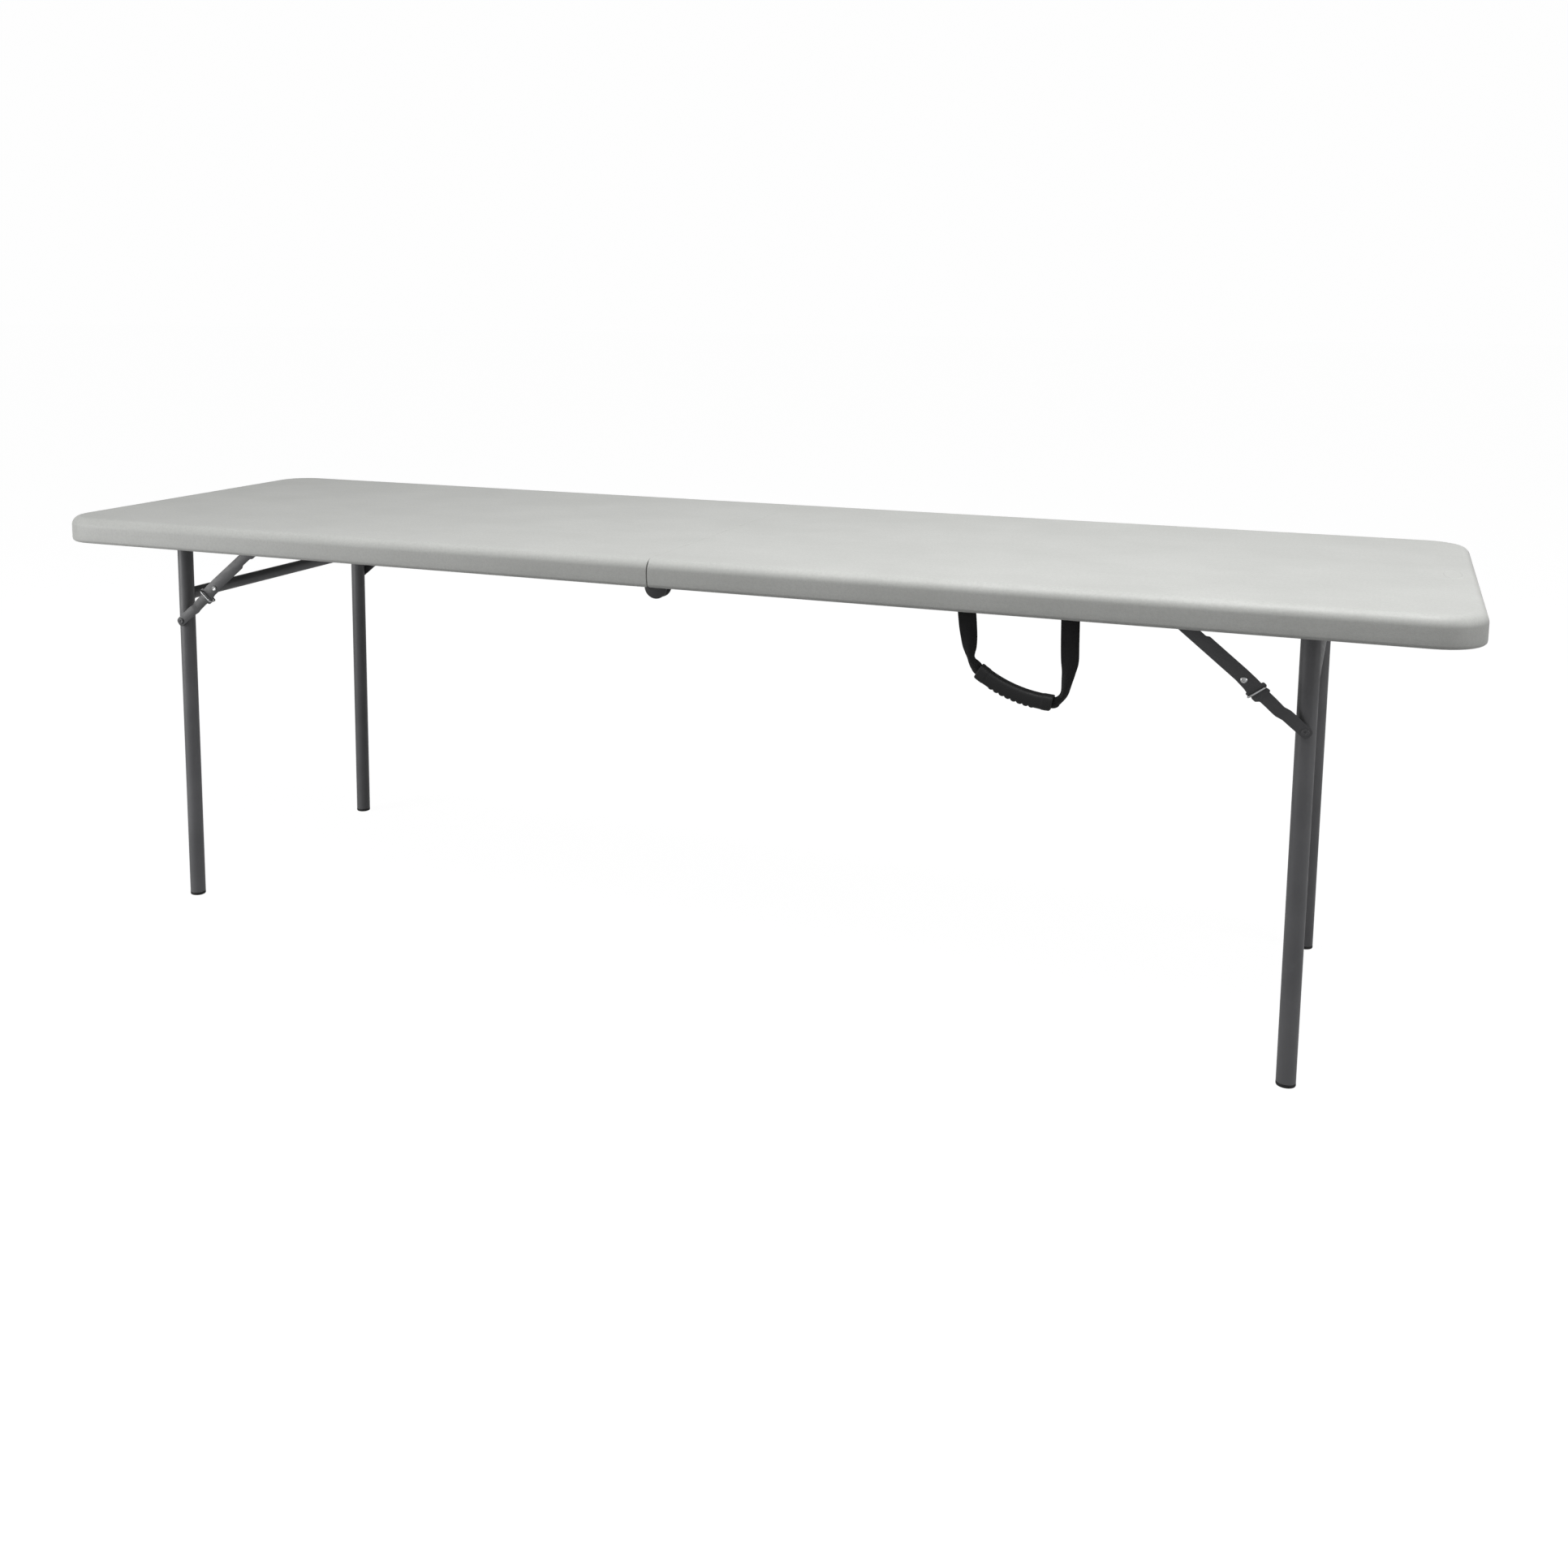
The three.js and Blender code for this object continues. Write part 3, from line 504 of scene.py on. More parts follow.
def make_half(side):
    """One blow-moulded half: rounded rim, hollow underside with dimples, and slots for the hinge."""
    sign = SIDES[side]
    mesh = bmesh.new()
    rings = []
    for inset, seam, radius, seam_radius, z in half_levels():
        ring = []
        for x, y in half_outline(inset, seam, radius, seam_radius):
            drop = dimple(x, y) if z == CEILING_Z and inset >= CEILING_FROM else 0.0
            ring.append(Vector((sign * x + seam_shift(x, y, z), y, z - drop)))
        rings.append(ring)
    loft(mesh, rings)
    shell = piece(f"{side}_top_shell", mesh, PLASTIC, f"{side}_half", [f"{side}_top"], math.radians(50))
    cut_hinge_slots(shell)


def cut_hinge_slots(shell):
    """Opens the seam wall at both rails, for the hinge leaves and cheeks."""
    rail_low, rail_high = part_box("right_rear_rail")
    slots = bmesh.new()
    for row in ROWS.values():
        y0, y1 = sorted((row * (rail_low.y - SLOT_INBOARD_GAP), row * (rail_high.y + SLOT_OUTBOARD_GAP)))
        ring = [(y0, SLOT_FOOT_Z), (y1, SLOT_FOOT_Z), (y1, CEILING_Z), (y0, CEILING_Z)]
        loft(slots, [[Vector((x, y, z)) for y, z in ring] for x in (-SLOT_REACH, SLOT_REACH)])
    bmesh.ops.recalc_face_normals(slots, faces=slots.faces[:])
    data = bpy.data.meshes.new("slot_cutter")
    slots.to_mesh(data)
    slots.free()
    cutter = put("slot_cutter", data)
    cut = shell.modifiers.new("slots", "BOOLEAN")
    cut.operation = "DIFFERENCE"
    cut.object = cutter
    cut.solver = "EXACT"
    bpy.context.view_layer.update()
    evaluated = shell.evaluated_get(bpy.context.evaluated_depsgraph_get())
    result = bpy.data.meshes.new_from_object(evaluated)
    shell.modifiers.clear()
    shell.data = result
    bpy.data.objects.remove(cutter)


for half in SIDES:
    make_half(half)


def make_blank_oval():
    """A blank raised oval moulded into the top near the right end."""
    section = [(-1, 0), (-1, OVAL_SUNK), (-0.4, OVAL_SUNK + OVAL_RISE), (0.4, OVAL_SUNK + OVAL_RISE),
               (1, OVAL_SUNK), (1, 0)]
    mesh = bmesh.new()
    rings = []
    for a in angles(OVAL_POINTS):
        out = Vector((math.cos(a), math.sin(a), 0))
        base = OVAL_CENTRE + Vector((OVAL_SHORT_R * out.x, OVAL_LONG_R * out.y, -OVAL_SUNK))
        rings.append([base + out * side * OVAL_WIRE + Vector((0, 0, up)) for side, up in section])
    loft(mesh, rings, closed=True)
    piece("right_top_blank_oval", mesh, PLASTIC, "right_half")


make_blank_oval()


# Rails, screws and centre hinge. Turned profiles are millimetres out from the axis and up.

RAIL_WALL = 1.6 * MM
RAIL_CORNER_R = 3 * MM
RAIL_INNER_CORNER_R = 1.4 * MM
SCREW_SHARES = (0.12, 0.37, 0.62, 0.98)
SCREW_HEAD = [(0, 0.3), (5.2, 0.3), (5.2, -0.7), (4.2, -2.0), (2.4, -2.6), (1.9, -1.6), (0, -1.6)]
PIN_DOME = [(0, 0), (2.6, 0.12), (4.6, 0.45), (5.8, 0.8), (6.0, 1.1), (4.0, 1.2)]
CHEEK_POINTS = 64
LEAF_HEIGHT = 21 * MM
LEAF_NECK = 11 * MM
LEAF_EYE_R = 8.5 * MM


def make_rail(side, row):
    node = f"{side}_{row}_rail"
    low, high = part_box(node)
    centre = (low + high) / 2
    width, height = (high.y - low.y) / 2, (high.z - low.z) / 2
    inner_width, inner_height = width - RAIL_WALL, height - RAIL_WALL

    def section(half_width, half_height, radius, x):
        corners = [(-half_width, -half_height, radius), (half_width, -half_height, radius),
                   (half_width, half_height, radius), (-half_width, half_height, radius)]
        return [Vector((x, centre.y + y, centre.z + z)) for y, z in filleted(corners, 5)]

    mesh = bmesh.new()
    loft(mesh, [section(width, height, RAIL_CORNER_R, low.x), section(width, height, RAIL_CORNER_R, high.x),
                section(inner_width, inner_height, RAIL_INNER_CORNER_R, high.x),
                section(inner_width, inner_height, RAIL_INNER_CORNER_R, low.x)], closed=True)
    piece(f"{node}_tube", mesh, STEEL, f"{side}_half", [node])
    screws = bmesh.new()
    start, end = sorted((low.x, high.x), key=abs)
    for share in SCREW_SHARES:
        at = Vector((start + (end - start) * share, centre.y, low.z))
        turned(screws, scaled(SCREW_HEAD), at, "Z", 24)
    piece(f"{side}_{row}_rail_screws", screws, ZINC, f"{side}_half")


def make_hinge(row):
    for layer in ("outer", "inner"):
        node = f"{row}_hinge_cheek_{layer}"
        low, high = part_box(node)
        radius = (high.z - low.z) / 2
        centre = (low + high) / 2
        mesh = bmesh.new()
        to_place = Matrix.Translation((centre.x, high.y, centre.z)) @ Matrix.Rotation(math.pi / 2, 4, "X")
        round_outline = arc((0, 0), radius, 0, 360 - 360 / CHEEK_POINTS, CHEEK_POINTS - 1)
        plate(mesh, round_outline, high.y - low.y, to_place, 0.7 * MM)
        piece(f"{node}_plate", mesh, HINGE_STEEL, "hinge_links", [node])
    for side in SIDES:
        pin = f"{side}_{row}_hinge_pin"
        low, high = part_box(pin)
        centre = (low + high) / 2
        reach = (high.y - low.y) / 2
        mesh = bmesh.new()
        dome = scaled(PIN_DOME)
        profile = [(r, -reach + h) for r, h in dome] + [(r, reach - h) for r, h in reversed(dome)]
        turned(mesh, profile, centre)
        piece(f"{pin}_turned", mesh, HINGE_STEEL, "hinge_links", [pin])
        make_leaf(side, row)


def make_leaf(side, row):
    """The tongue in the rail's end and its cranked eye, drawn for the right side."""
    node = f"{side}_{row}_hinge_leaf"
    low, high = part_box(node)
    pin = middle(f"right_{row}_hinge_pin")
    reach = max(abs(low.x), abs(high.x))
    tongue_low, tongue_high = high.z - LEAF_HEIGHT, high.z
    rail_end = min(abs(c.x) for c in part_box(f"right_{row}_rail"))
    outline = filleted([(reach, tongue_low, 2 * MM), (reach, tongue_high, 2 * MM),
                        (rail_end, tongue_high, 6 * MM),
                        (rail_end - LEAF_NECK, tongue_high - 9 * MM, 9 * MM)])
    outline += arc((pin.x, pin.z), LEAF_EYE_R, 63, 297, 18)
    outline.append((rail_end - 3 * MM, tongue_low))
    mesh = bmesh.new()
    to_place = Matrix.Translation((0, high.y, 0)) @ Matrix.Rotation(math.pi / 2, 4, "X")
    if side == "left":
        outline = [(-x, z) for x, z in reversed(outline)]
    plate(mesh, outline, high.y - low.y, to_place, 0.8 * MM)
    piece(f"{node}_forged", mesh, HINGE_STEEL, f"{side}_half", [node])


for row_name in ROWS:
    for side_name in SIDES:
        make_rail(side_name, row_name)
    make_hinge(row_name)


# Leg frames

LEG_R = (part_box("left_front_leg")[1].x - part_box("left_front_leg")[0].x) / 2
LEG_WALL = 1.6 * MM
LEG_LIP = 0.4 * MM
PIVOT_R = 6 * MM
PIVOT_CHAMFER = 1.2 * MM
BEAD_R = 1.5 * MM
BEAD_STEPS = 60
BEAD_RIPPLE = 0.16
BEAD_RIPPLES = 19
# Millimetres out from the tube's surface and up from the floor
FOOT_RIM = [(-5, 0.6), (-4.4, 0), (-1.4, 0), (-0.4, 0.5), (0.1, 1.6), (0.1, 4.3), (-0.5, 5.1), (-2, 5.2)]


def weld_bead(mesh, centre, radius, toward):
    """A rippled fillet where a bar of that radius meets a leg. toward is the bar's Y direction."""
    rings = []
    for a in angles(BEAD_STEPS):
        x, z = (radius + 0.4 * MM) * math.cos(a), (radius + 0.4 * MM) * math.sin(a)
        y = math.sqrt(max(LEG_R ** 2 - x * x, 0))
        spot = centre + Vector((x, toward * (y + 0.3 * MM), z))
        size = BEAD_R * (1 + BEAD_RIPPLE * math.sin(a * BEAD_RIPPLES))
        out = Vector((math.cos(a), 0, math.sin(a)))
        along = Vector((0, toward, 0))
        rings.append([spot + (out * math.cos(b) + along * math.sin(b)) * size for b in angles(10)])
    loft(mesh, rings, closed=True)


def make_leg_frame(side):
    body = f"{side}_leg_frame"
    for row in ROWS:
        node = f"{side}_{row}_leg"
        low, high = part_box(node)
        centre = (low + high) / 2
        inner = LEG_R - LEG_WALL
        profile = [(inner, low.z), (LEG_R - LEG_LIP, low.z), (LEG_R, low.z + LEG_LIP),
                   (LEG_R, high.z - LEG_LIP), (LEG_R - LEG_LIP, high.z), (inner, high.z), (inner, low.z)]
        mesh = bmesh.new()
        turned(mesh, profile, Vector((centre.x, centre.y, 0)), "Z", 64)
        piece(f"{node}_tube", mesh, LIT_TUBE_STEEL, body, [node])
        make_foot(side, row, centre)
    bar = f"{side}_pivot_bar"
    low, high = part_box(bar)
    centre = (low + high) / 2
    leg_y = middle(f"{side}_rear_leg").y
    bar_r, end = (high.x - low.x) / 2, high.y
    rear = [(bar_r, leg_y), (PIVOT_R, leg_y), (PIVOT_R, end - PIVOT_CHAMFER),
            (PIVOT_R - PIVOT_CHAMFER, end), (0, end)]
    front = [(r, -y) for r, y in reversed(rear)]
    mesh = bmesh.new()
    turned(mesh, front + rear, Vector((centre.x, 0, centre.z)), segments=48)
    piece(f"{bar}_tube", mesh, LIT_TUBE_STEEL, body, [bar])
    cross = f"{side}_crossbar"
    low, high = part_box(cross)
    spot = (low + high) / 2
    cross_r = (high.z - low.z) / 2
    mesh = bmesh.new()
    turned(mesh, [(0, -leg_y), (cross_r, -leg_y), (cross_r, leg_y), (0, leg_y)],
           Vector((spot.x, 0, spot.z)), segments=48)
    piece(f"{cross}_tube", mesh, LIT_TUBE_STEEL, body, [cross])
    beads = bmesh.new()
    for row in ROWS.values():
        for place, radius in ((spot, cross_r), (centre, bar_r)):
            at = Vector((place.x, row * leg_y, place.z))
            weld_bead(beads, at, radius, -row)
    piece(f"{side}_frame_welds", beads, LIT_TUBE_STEEL, body, sharp=math.radians(80))


def make_foot(side, row, centre):
    node = f"{side}_{row}_foot"
    low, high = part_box(node)
    rim = scaled(FOOT_RIM)
    plug_r = LEG_R + rim[-1][0]
    profile = [(0, rim[0][1]), *[(LEG_R + out, up) for out, up in rim], (plug_r, high.z), (0, high.z)]
    mesh = bmesh.new()
    turned(mesh, profile, Vector((centre.x, centre.y, 0)), "Z", 64)
    piece(f"{node}_cap", mesh, RUBBER, f"{side}_leg_frame", [node])


for side_name in SIDES:
    make_leg_frame(side_name)


# Folding braces

UPPER_LENGTH = 148.1
LOWER_LENGTH = 111.6
PLATE_THICK = 3.0 * MM
PLATE_EDGE = 0.6 * MM
JOGGLE = 4.0 * MM
JOGGLE_FROM = 58
JOGGLE_TO = 76

# Outlines in millimetres: x runs from the elbow to the rail pin, and a corner is (x, y, radius).
LINK_OFFSET = 3.0
OFFSET_FROM = 118
UPPER_HALF = 11.2
NOTCH_DEEP = 3
NOTCH = [(105.5, UPPER_HALF, 2), (101, UPPER_HALF - NOTCH_DEEP, 2.5), (80, UPPER_HALF - NOTCH_DEEP, 2.5),
         (75.5, UPPER_HALF, 2)]
TAIL_OUTBOARD = [
    (-11, 13.6, 8), (-20.2, 12.8, 0.9), (-21.4, 16.2, 2.3), (-27.6, 16.2, 2.6), (-29.4, 11.2, 1.5),
]
TAIL_INBOARD = [
    (-8, 9.8, 8), (-14.6, 11.3, 0.8), (-15.4, 14.1, 1.9), (-19.4, 14.1, 1.9), (-21.4, 11, 1.5),
]
LOWER_OUTBOARD = [
    (-22, 8, 2), (-27, 10.8, 2), (-33, 12.5, 3), (-36.7, 12.5, 1.6), (-37.7, 9.7, 1.3), (-50, 9.2, 8),
    (-60, 8.4, 8), (-67, 7.5, 5), (-77, 9.5, 5), (-88, 9.5, 8), (-LOWER_LENGTH - 9, 8.8, 7.5),
]
LOWER_INBOARD = [
    (-19, 8, 3), (-23.6, 12.6, 1.8), (-27, 14.5, 2.5), (-33, 14.5, 3), (-37.4, 9.7, 2.5), (-50, 10, 8),
    (-60, 10.6, 8), (-67, 11, 5), (-78, 8.9, 5), (-90, 9.0, 8), (-LOWER_LENGTH - 9, 8.8, 7.5),
]
LOWER_NECK = 8.0
# Rail pin, millimetres out from its axis and along it from its head
RAIL_PIN = [(0, 0), (3.4, 0.1), (5.6, 0.6), (6.6, 1.3), (6.8, 1.7), (4, 1.8), (4, 5), (6.5, 5.3), (6.5, 14),
            (4, 14.3)]
ELBOW_HEAD_R = 4.9 * MM
LEG_RIVET_HEAD_R = 5.6 * MM
LEG_RIVET_SUNK = 4.2 * MM


def mirrored_y(corners):
    return [(x, -y, r) for x, y, r in reversed(corners)]


def upper_outline(hand, outboard):
    """hand says which edge has the notch, and outboard which edge faces the end of the table."""
    w = UPPER_HALF
    facing = outboard * hand
    ears = {facing: TAIL_OUTBOARD, -facing: TAIL_INBOARD}
    end = UPPER_LENGTH + w
    body = [(8, -w, 8), (40, -w, 8), (80, -w, 8), (OFFSET_FROM, -w, 8), (end, -w, 11), (end, w, 11),
            *NOTCH, (40, w, 8), (8, w, 8)]
    shifted = [(x, y + facing * LINK_OFFSET * (1 - smoothstep(x, OFFSET_FROM, UPPER_LENGTH)), r)
               for x, y, r in body]
    corners = mirrored_y(ears[-1]) + shifted + ears[1]
    return scaled(filleted([(x, y * hand, r) for x, y, r in corners][::hand]))


def lower_outline(outboard):
    nose = [(x, y, 0) for x, y in arc((0, 0), LOWER_NECK, -80, 80, 12)]
    corners = [(0, -LOWER_NECK, 0), *nose, (0, LOWER_NECK, 0), *LOWER_OUTBOARD, *mirrored_y(LOWER_INBOARD)]
    return scaled(filleted([(x, y * outboard, r) for x, y, r in corners][::outboard]))


def rivet(place, start, end, head, row, dome=2.0 * MM, shank=3.6 * MM):
    """A semi-tubular rivet along Y. start and end are distances from the centre plane."""
    tail = [(0, start), (shank + 0.8 * MM, start), (shank + 1.2 * MM, start + 0.5 * MM),
            (shank, start + 1.4 * MM)]
    crown = [(1, 1), (1, 0.7), (0.86, 0.3), (0.62, 0), (0.40, 0.12), (0.26, 0.6), (0, 0.62)]
    profile = [*tail, (shank, end - dome), *[(head * out, end - dome * down) for out, down in crown]]
    mesh = bmesh.new()
    turned(mesh, [(r, row * y) for r, y in profile], Vector((place.x, 0, place.z)), segments=36)
    return mesh


def make_brace(side, row):
    x_sign, y_sign = SIDES[side], ROWS[row]
    name = f"{side}_{row}_brace"
    bodies = {k: f"{side}_{row}_{k}" for k in ("upper_link", "lower_link", "lock_ring")}
    elbow = middle(f"{name}_elbow_rivet")
    on_rail = middle(f"{name}_rail_pin")
    on_leg = middle(f"{name}_leg_rivet")
    slope = math.atan2(on_rail.z - elbow.z, on_rail.x - elbow.x)

    def placed(node):
        """From the link's own XY plane to its layer: local Z runs out from the table."""
        low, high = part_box(node)
        inner = high.y if y_sign < 0 else low.y
        return Matrix(((math.cos(slope), -math.sin(slope), 0, elbow.x),
                       (0, 0, y_sign, inner),
                       (math.sin(slope), math.cos(slope), 0, elbow.z),
                       (0, 0, 0, 1)))

    mesh = bmesh.new()
    node = f"{name}_upper_link"
    plate(mesh, upper_outline(y_sign, -x_sign), PLATE_THICK, placed(node), PLATE_EDGE)
    piece(f"{node}_plate", mesh, STEEL, bodies["upper_link"], [node])

    mesh = bmesh.new()
    node = f"{name}_lower_link"
    bends = [-x * MM for x in range(JOGGLE_FROM, JOGGLE_TO + 1, 3)]
    plate(mesh, lower_outline(-x_sign), PLATE_THICK, Matrix.Identity(4), PLATE_EDGE, bends)
    for vertex in mesh.verts:
        vertex.co.z -= JOGGLE * smoothstep(-vertex.co.x, JOGGLE_FROM * MM, JOGGLE_TO * MM)
    mesh.transform(placed(node))
    piece(f"{node}_plate", mesh, STEEL, bodies["lower_link"], [node])

    node = f"{name}_elbow_rivet"
    inner, outer = depth(node)
    mesh = rivet(elbow, inner, outer, ELBOW_HEAD_R, y_sign)
    piece(f"{node}_zinc", mesh, ZINC, bodies["upper_link"], [node])
    node = f"{name}_leg_rivet"
    inner, outer = depth(node)
    mesh = rivet(on_leg, inner, outer - LEG_RIVET_SUNK, LEG_RIVET_HEAD_R, y_sign, 1.8 * MM)
    piece(f"{node}_painted", mesh, STEEL, bodies["lower_link"], [node])
    make_rail_pin(name, on_rail, side, y_sign)
    make_ring(name, slope, side, y_sign, bodies["lock_ring"])


def make_rail_pin(name, place, side, row):
    node = f"{name}_rail_pin"
    inner, outer = depth(node)
    shape = scaled(RAIL_PIN)
    profile = [*[(r, inner + y) for r, y in shape], (shape[-1][0], outer), (0, outer)]
    mesh = bmesh.new()
    turned(mesh, [(r, row * y) for r, y in profile], Vector((place.x, 0, place.z)), segments=36)
    piece(f"{node}_turned", mesh, ZINC, f"{side}_half", [node])


RING_WIRE_R = 1.4 * MM
RING_REACH = 14.2 * MM
RING_DEEP = 7.8 * MM
RING_LEAN = {"left": math.radians(9.5), "right": math.radians(14)}
RING_TO_ELBOW = 24.4 * MM
RING_DROP = 0.9 * MM
RING_CORNER_R = 4 * MM
RING_AROUND = 14


def make_ring(name, slope, side, row, body):
    """The lock ring: a rounded rectangle of wire that leans against the staggered ears of the links."""
    node = f"{name}_lock_ring"
    turn = slope - SIDES[side] * RING_LEAN[side]
    across = Vector((-math.sin(turn), 0, math.cos(turn)))
    out = Vector((0, row, 0))
    along = Vector((math.cos(turn), 0, math.sin(turn)))
    elbow = middle(f"{name}_elbow_rivet")
    down_link = Vector((-math.cos(slope), 0, -math.sin(slope)))
    inboard = Vector((-math.sin(slope), 0, math.cos(slope))) * SIDES[side]
    centre = Vector((elbow.x, middle(node).y, elbow.z)) + down_link * RING_TO_ELBOW + inboard * RING_DROP
    quarters = ((-1, -1), (1, -1), (1, 1), (-1, 1))
    path = filleted([(u * RING_REACH, v * RING_DEEP, RING_CORNER_R) for u, v in quarters], 6)
    mesh = bmesh.new()
    rings = []
    for i, (u, v) in enumerate(path):
        after, before = path[(i + 1) % len(path)], path[i - 1]
        tangent = Vector((after[0] - before[0], after[1] - before[1])).normalized()
        normal = across * -tangent.y + out * tangent.x
        spot = centre + across * u + out * v
        rings.append([spot + (normal * math.cos(a) + along * math.sin(a)) * RING_WIRE_R
                      for a in angles(RING_AROUND)])
    loft(mesh, rings, closed=True)
    piece(f"{node}_wire", mesh, ZINC, body, [node])


for side_name in SIDES:
    for row_name in ROWS:
        make_brace(side_name, row_name)


# Carrying handle

strap_low, strap_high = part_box("handle_strap")
HANDLE_Y = (strap_low.y + strap_high.y) / 2
LEFT_X = middle("handle_anchor_left").x
RIGHT_X = middle("handle_anchor_right").x
GRIP_START = Vector((532.5 * MM, HANDLE_Y, 598.2 * MM))
GRIP_END = Vector((644 * MM, HANDLE_Y, 559 * MM))
GRIP_SAG = 9 * MM
WEBBING_HALF_WIDTH = 14 * MM
WEBBING_HALF_THICK = 0.95 * MM
FOLD_SHARE = 0.8
FOLD_ROUND = 0.06
FOLD_MIDDLE = 0.62
HELD_HALF_WIDTH = 8.8
# The strap's line in millimetres: X, Z and half its width as seen from the front
STRAP_FALLS = [
    (512, 698, 14), (512, 690, 14), (512.5, 685, 14), (514.4, 665, 13.7), (516.1, 649, 12.7),
    (517.4, 633, 10.6), (518.3, 623, 7.4), (519.6, 616.5, 5.4), (522, 611, 6.2), (525.2, 606.8, 7.8),
    (528.6, 603, 8.6),
]
STRAP_RISES = [
    (649.6, 561.4, 6.6), (654.2, 565, 5.2), (658.4, 570, 5.0), (661.2, 576.2, 5.6), (662.6, 584.2, 6.6),
    (664, 594.6, 8.2), (665.8, 607, 10), (667.2, 624.5, 13), (666.6, 652, 13.5), (666.1, 685, 13.6),
    (666, 690, 13.6), (666, 698, 13.6),
]


def grip_point(t):
    """A point on the grip's centre line and its direction, with t from 0 to 1."""
    chord = GRIP_END - GRIP_START
    down = Vector((chord.z, 0, -chord.x)).normalized()
    bend = (GRIP_START + GRIP_END) / 2 + down * 2 * GRIP_SAG
    point = GRIP_START * (1 - t) ** 2 + bend * 2 * t * (1 - t) + GRIP_END * t ** 2
    direction = ((bend - GRIP_START) * (1 - t) + (GRIP_END - bend) * t).normalized()
    return point, direction


def spline(points, steps):
    """A Catmull-Rom curve through the points."""
    ends = [points[0] * 2 - points[1], *points, points[-1] * 2 - points[-2]]
    curve = []
    for i in range(1, len(ends) - 2):
        a, b, c, d = ends[i - 1:i + 3]
        for k in range(steps):
            t = k / steps
            curve.append(0.5 * (2 * b + (c - a) * t + (2 * a - 5 * b + 4 * c - d) * t * t
                                + (3 * b - a - 3 * c + d) * t ** 3))
    curve.append(points[-1].copy())
    return curve


def make_strap():
    """The webbing faces the front all along, and folds lengthwise into a channel where it looks narrow."""
    in_grip = [grip_point(i / 6)[0] for i in range(7)]
    held = [(point.x / MM, point.z / MM, HELD_HALF_WIDTH) for point in in_grip]
    stations = [Vector((x, z, half_width)) * MM for x, z, half_width in STRAP_FALLS + held + STRAP_RISES]
    route = spline(stations, 5)
    mesh = bmesh.new()
    uv = mesh.loops.layers.uv.new("weave")
    shares = [-1, -0.94, -0.75, -0.5, -0.25, 0, 0.25, 0.5, 0.75, 0.94, 1]
    upper_face = [(u, 1 if abs(u) < 1 else 0.5) for u in shares]
    section = [(u, -v) for u, v in upper_face] + upper_face[::-1]
    rings, lengths, run = [], [], 0.0
    for i, station in enumerate(route):
        before, after = route[max(i - 1, 0)], route[min(i + 1, len(route) - 1)]
        along = Vector((after.x - before.x, 0, after.y - before.y)).normalized()
        across = Vector((along.z, 0, -along.x))
        run += (station.xy - route[i - 1].xy).length if i else 0.0
        lengths.append(run)
        centre = Vector((station.x, HANDLE_Y, station.y))
        half_width = min(station.z, WEBBING_HALF_WIDTH)
        fold = math.sqrt(max(0.0, WEBBING_HALF_WIDTH ** 2 - half_width ** 2)) * FOLD_SHARE
        ring = []
        for u, v in section:
            rounded = math.sqrt(u * u + FOLD_ROUND)
            ridge = Vector((0, (rounded - FOLD_MIDDLE) * fold, 0))
            slope = fold * u / rounded / half_width
            lean = Vector((across.x * -slope, 1, across.z * -slope)).normalized()
            ring.append(centre + across * u * half_width + ridge + lean * v * WEBBING_HALF_THICK)
        rings.append(ring)
    loops = loft(mesh, rings)
    place = {}
    for loop, length in zip(loops, lengths):
        for vertex, (u, _) in zip(loop, section):
            place[vertex] = (u * WEBBING_HALF_WIDTH, length)
    for face_of_mesh in mesh.faces:
        for corner in face_of_mesh.loops:
            corner[uv].uv = place[corner.vert]
    strap = piece("handle_strap_webbing", mesh, WEBBING, None, ["handle_strap"], math.radians(70))
    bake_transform(strap)


START_SLANT = math.radians(6)
END_SLANT = math.radians(-12)
LOBE_PITCH = 9.0 * MM
LOBE_COUNT = 8
LOBE_DEPTH = 3.0 * MM
LOBE_INSET = 1.7 * MM
GRIP_DEEP = 11.0 * MM
GRIP_TALL = 11.6 * MM
GRIP_STATIONS = 150
GRIP_AROUND = 40
GRIP_SQUARENESS = 0.62
SLANT_REACH = 16 * MM
COLLAR = 0.6 * MM
COLLAR_FROM = 12 * MM
COLLAR_TO = 16 * MM


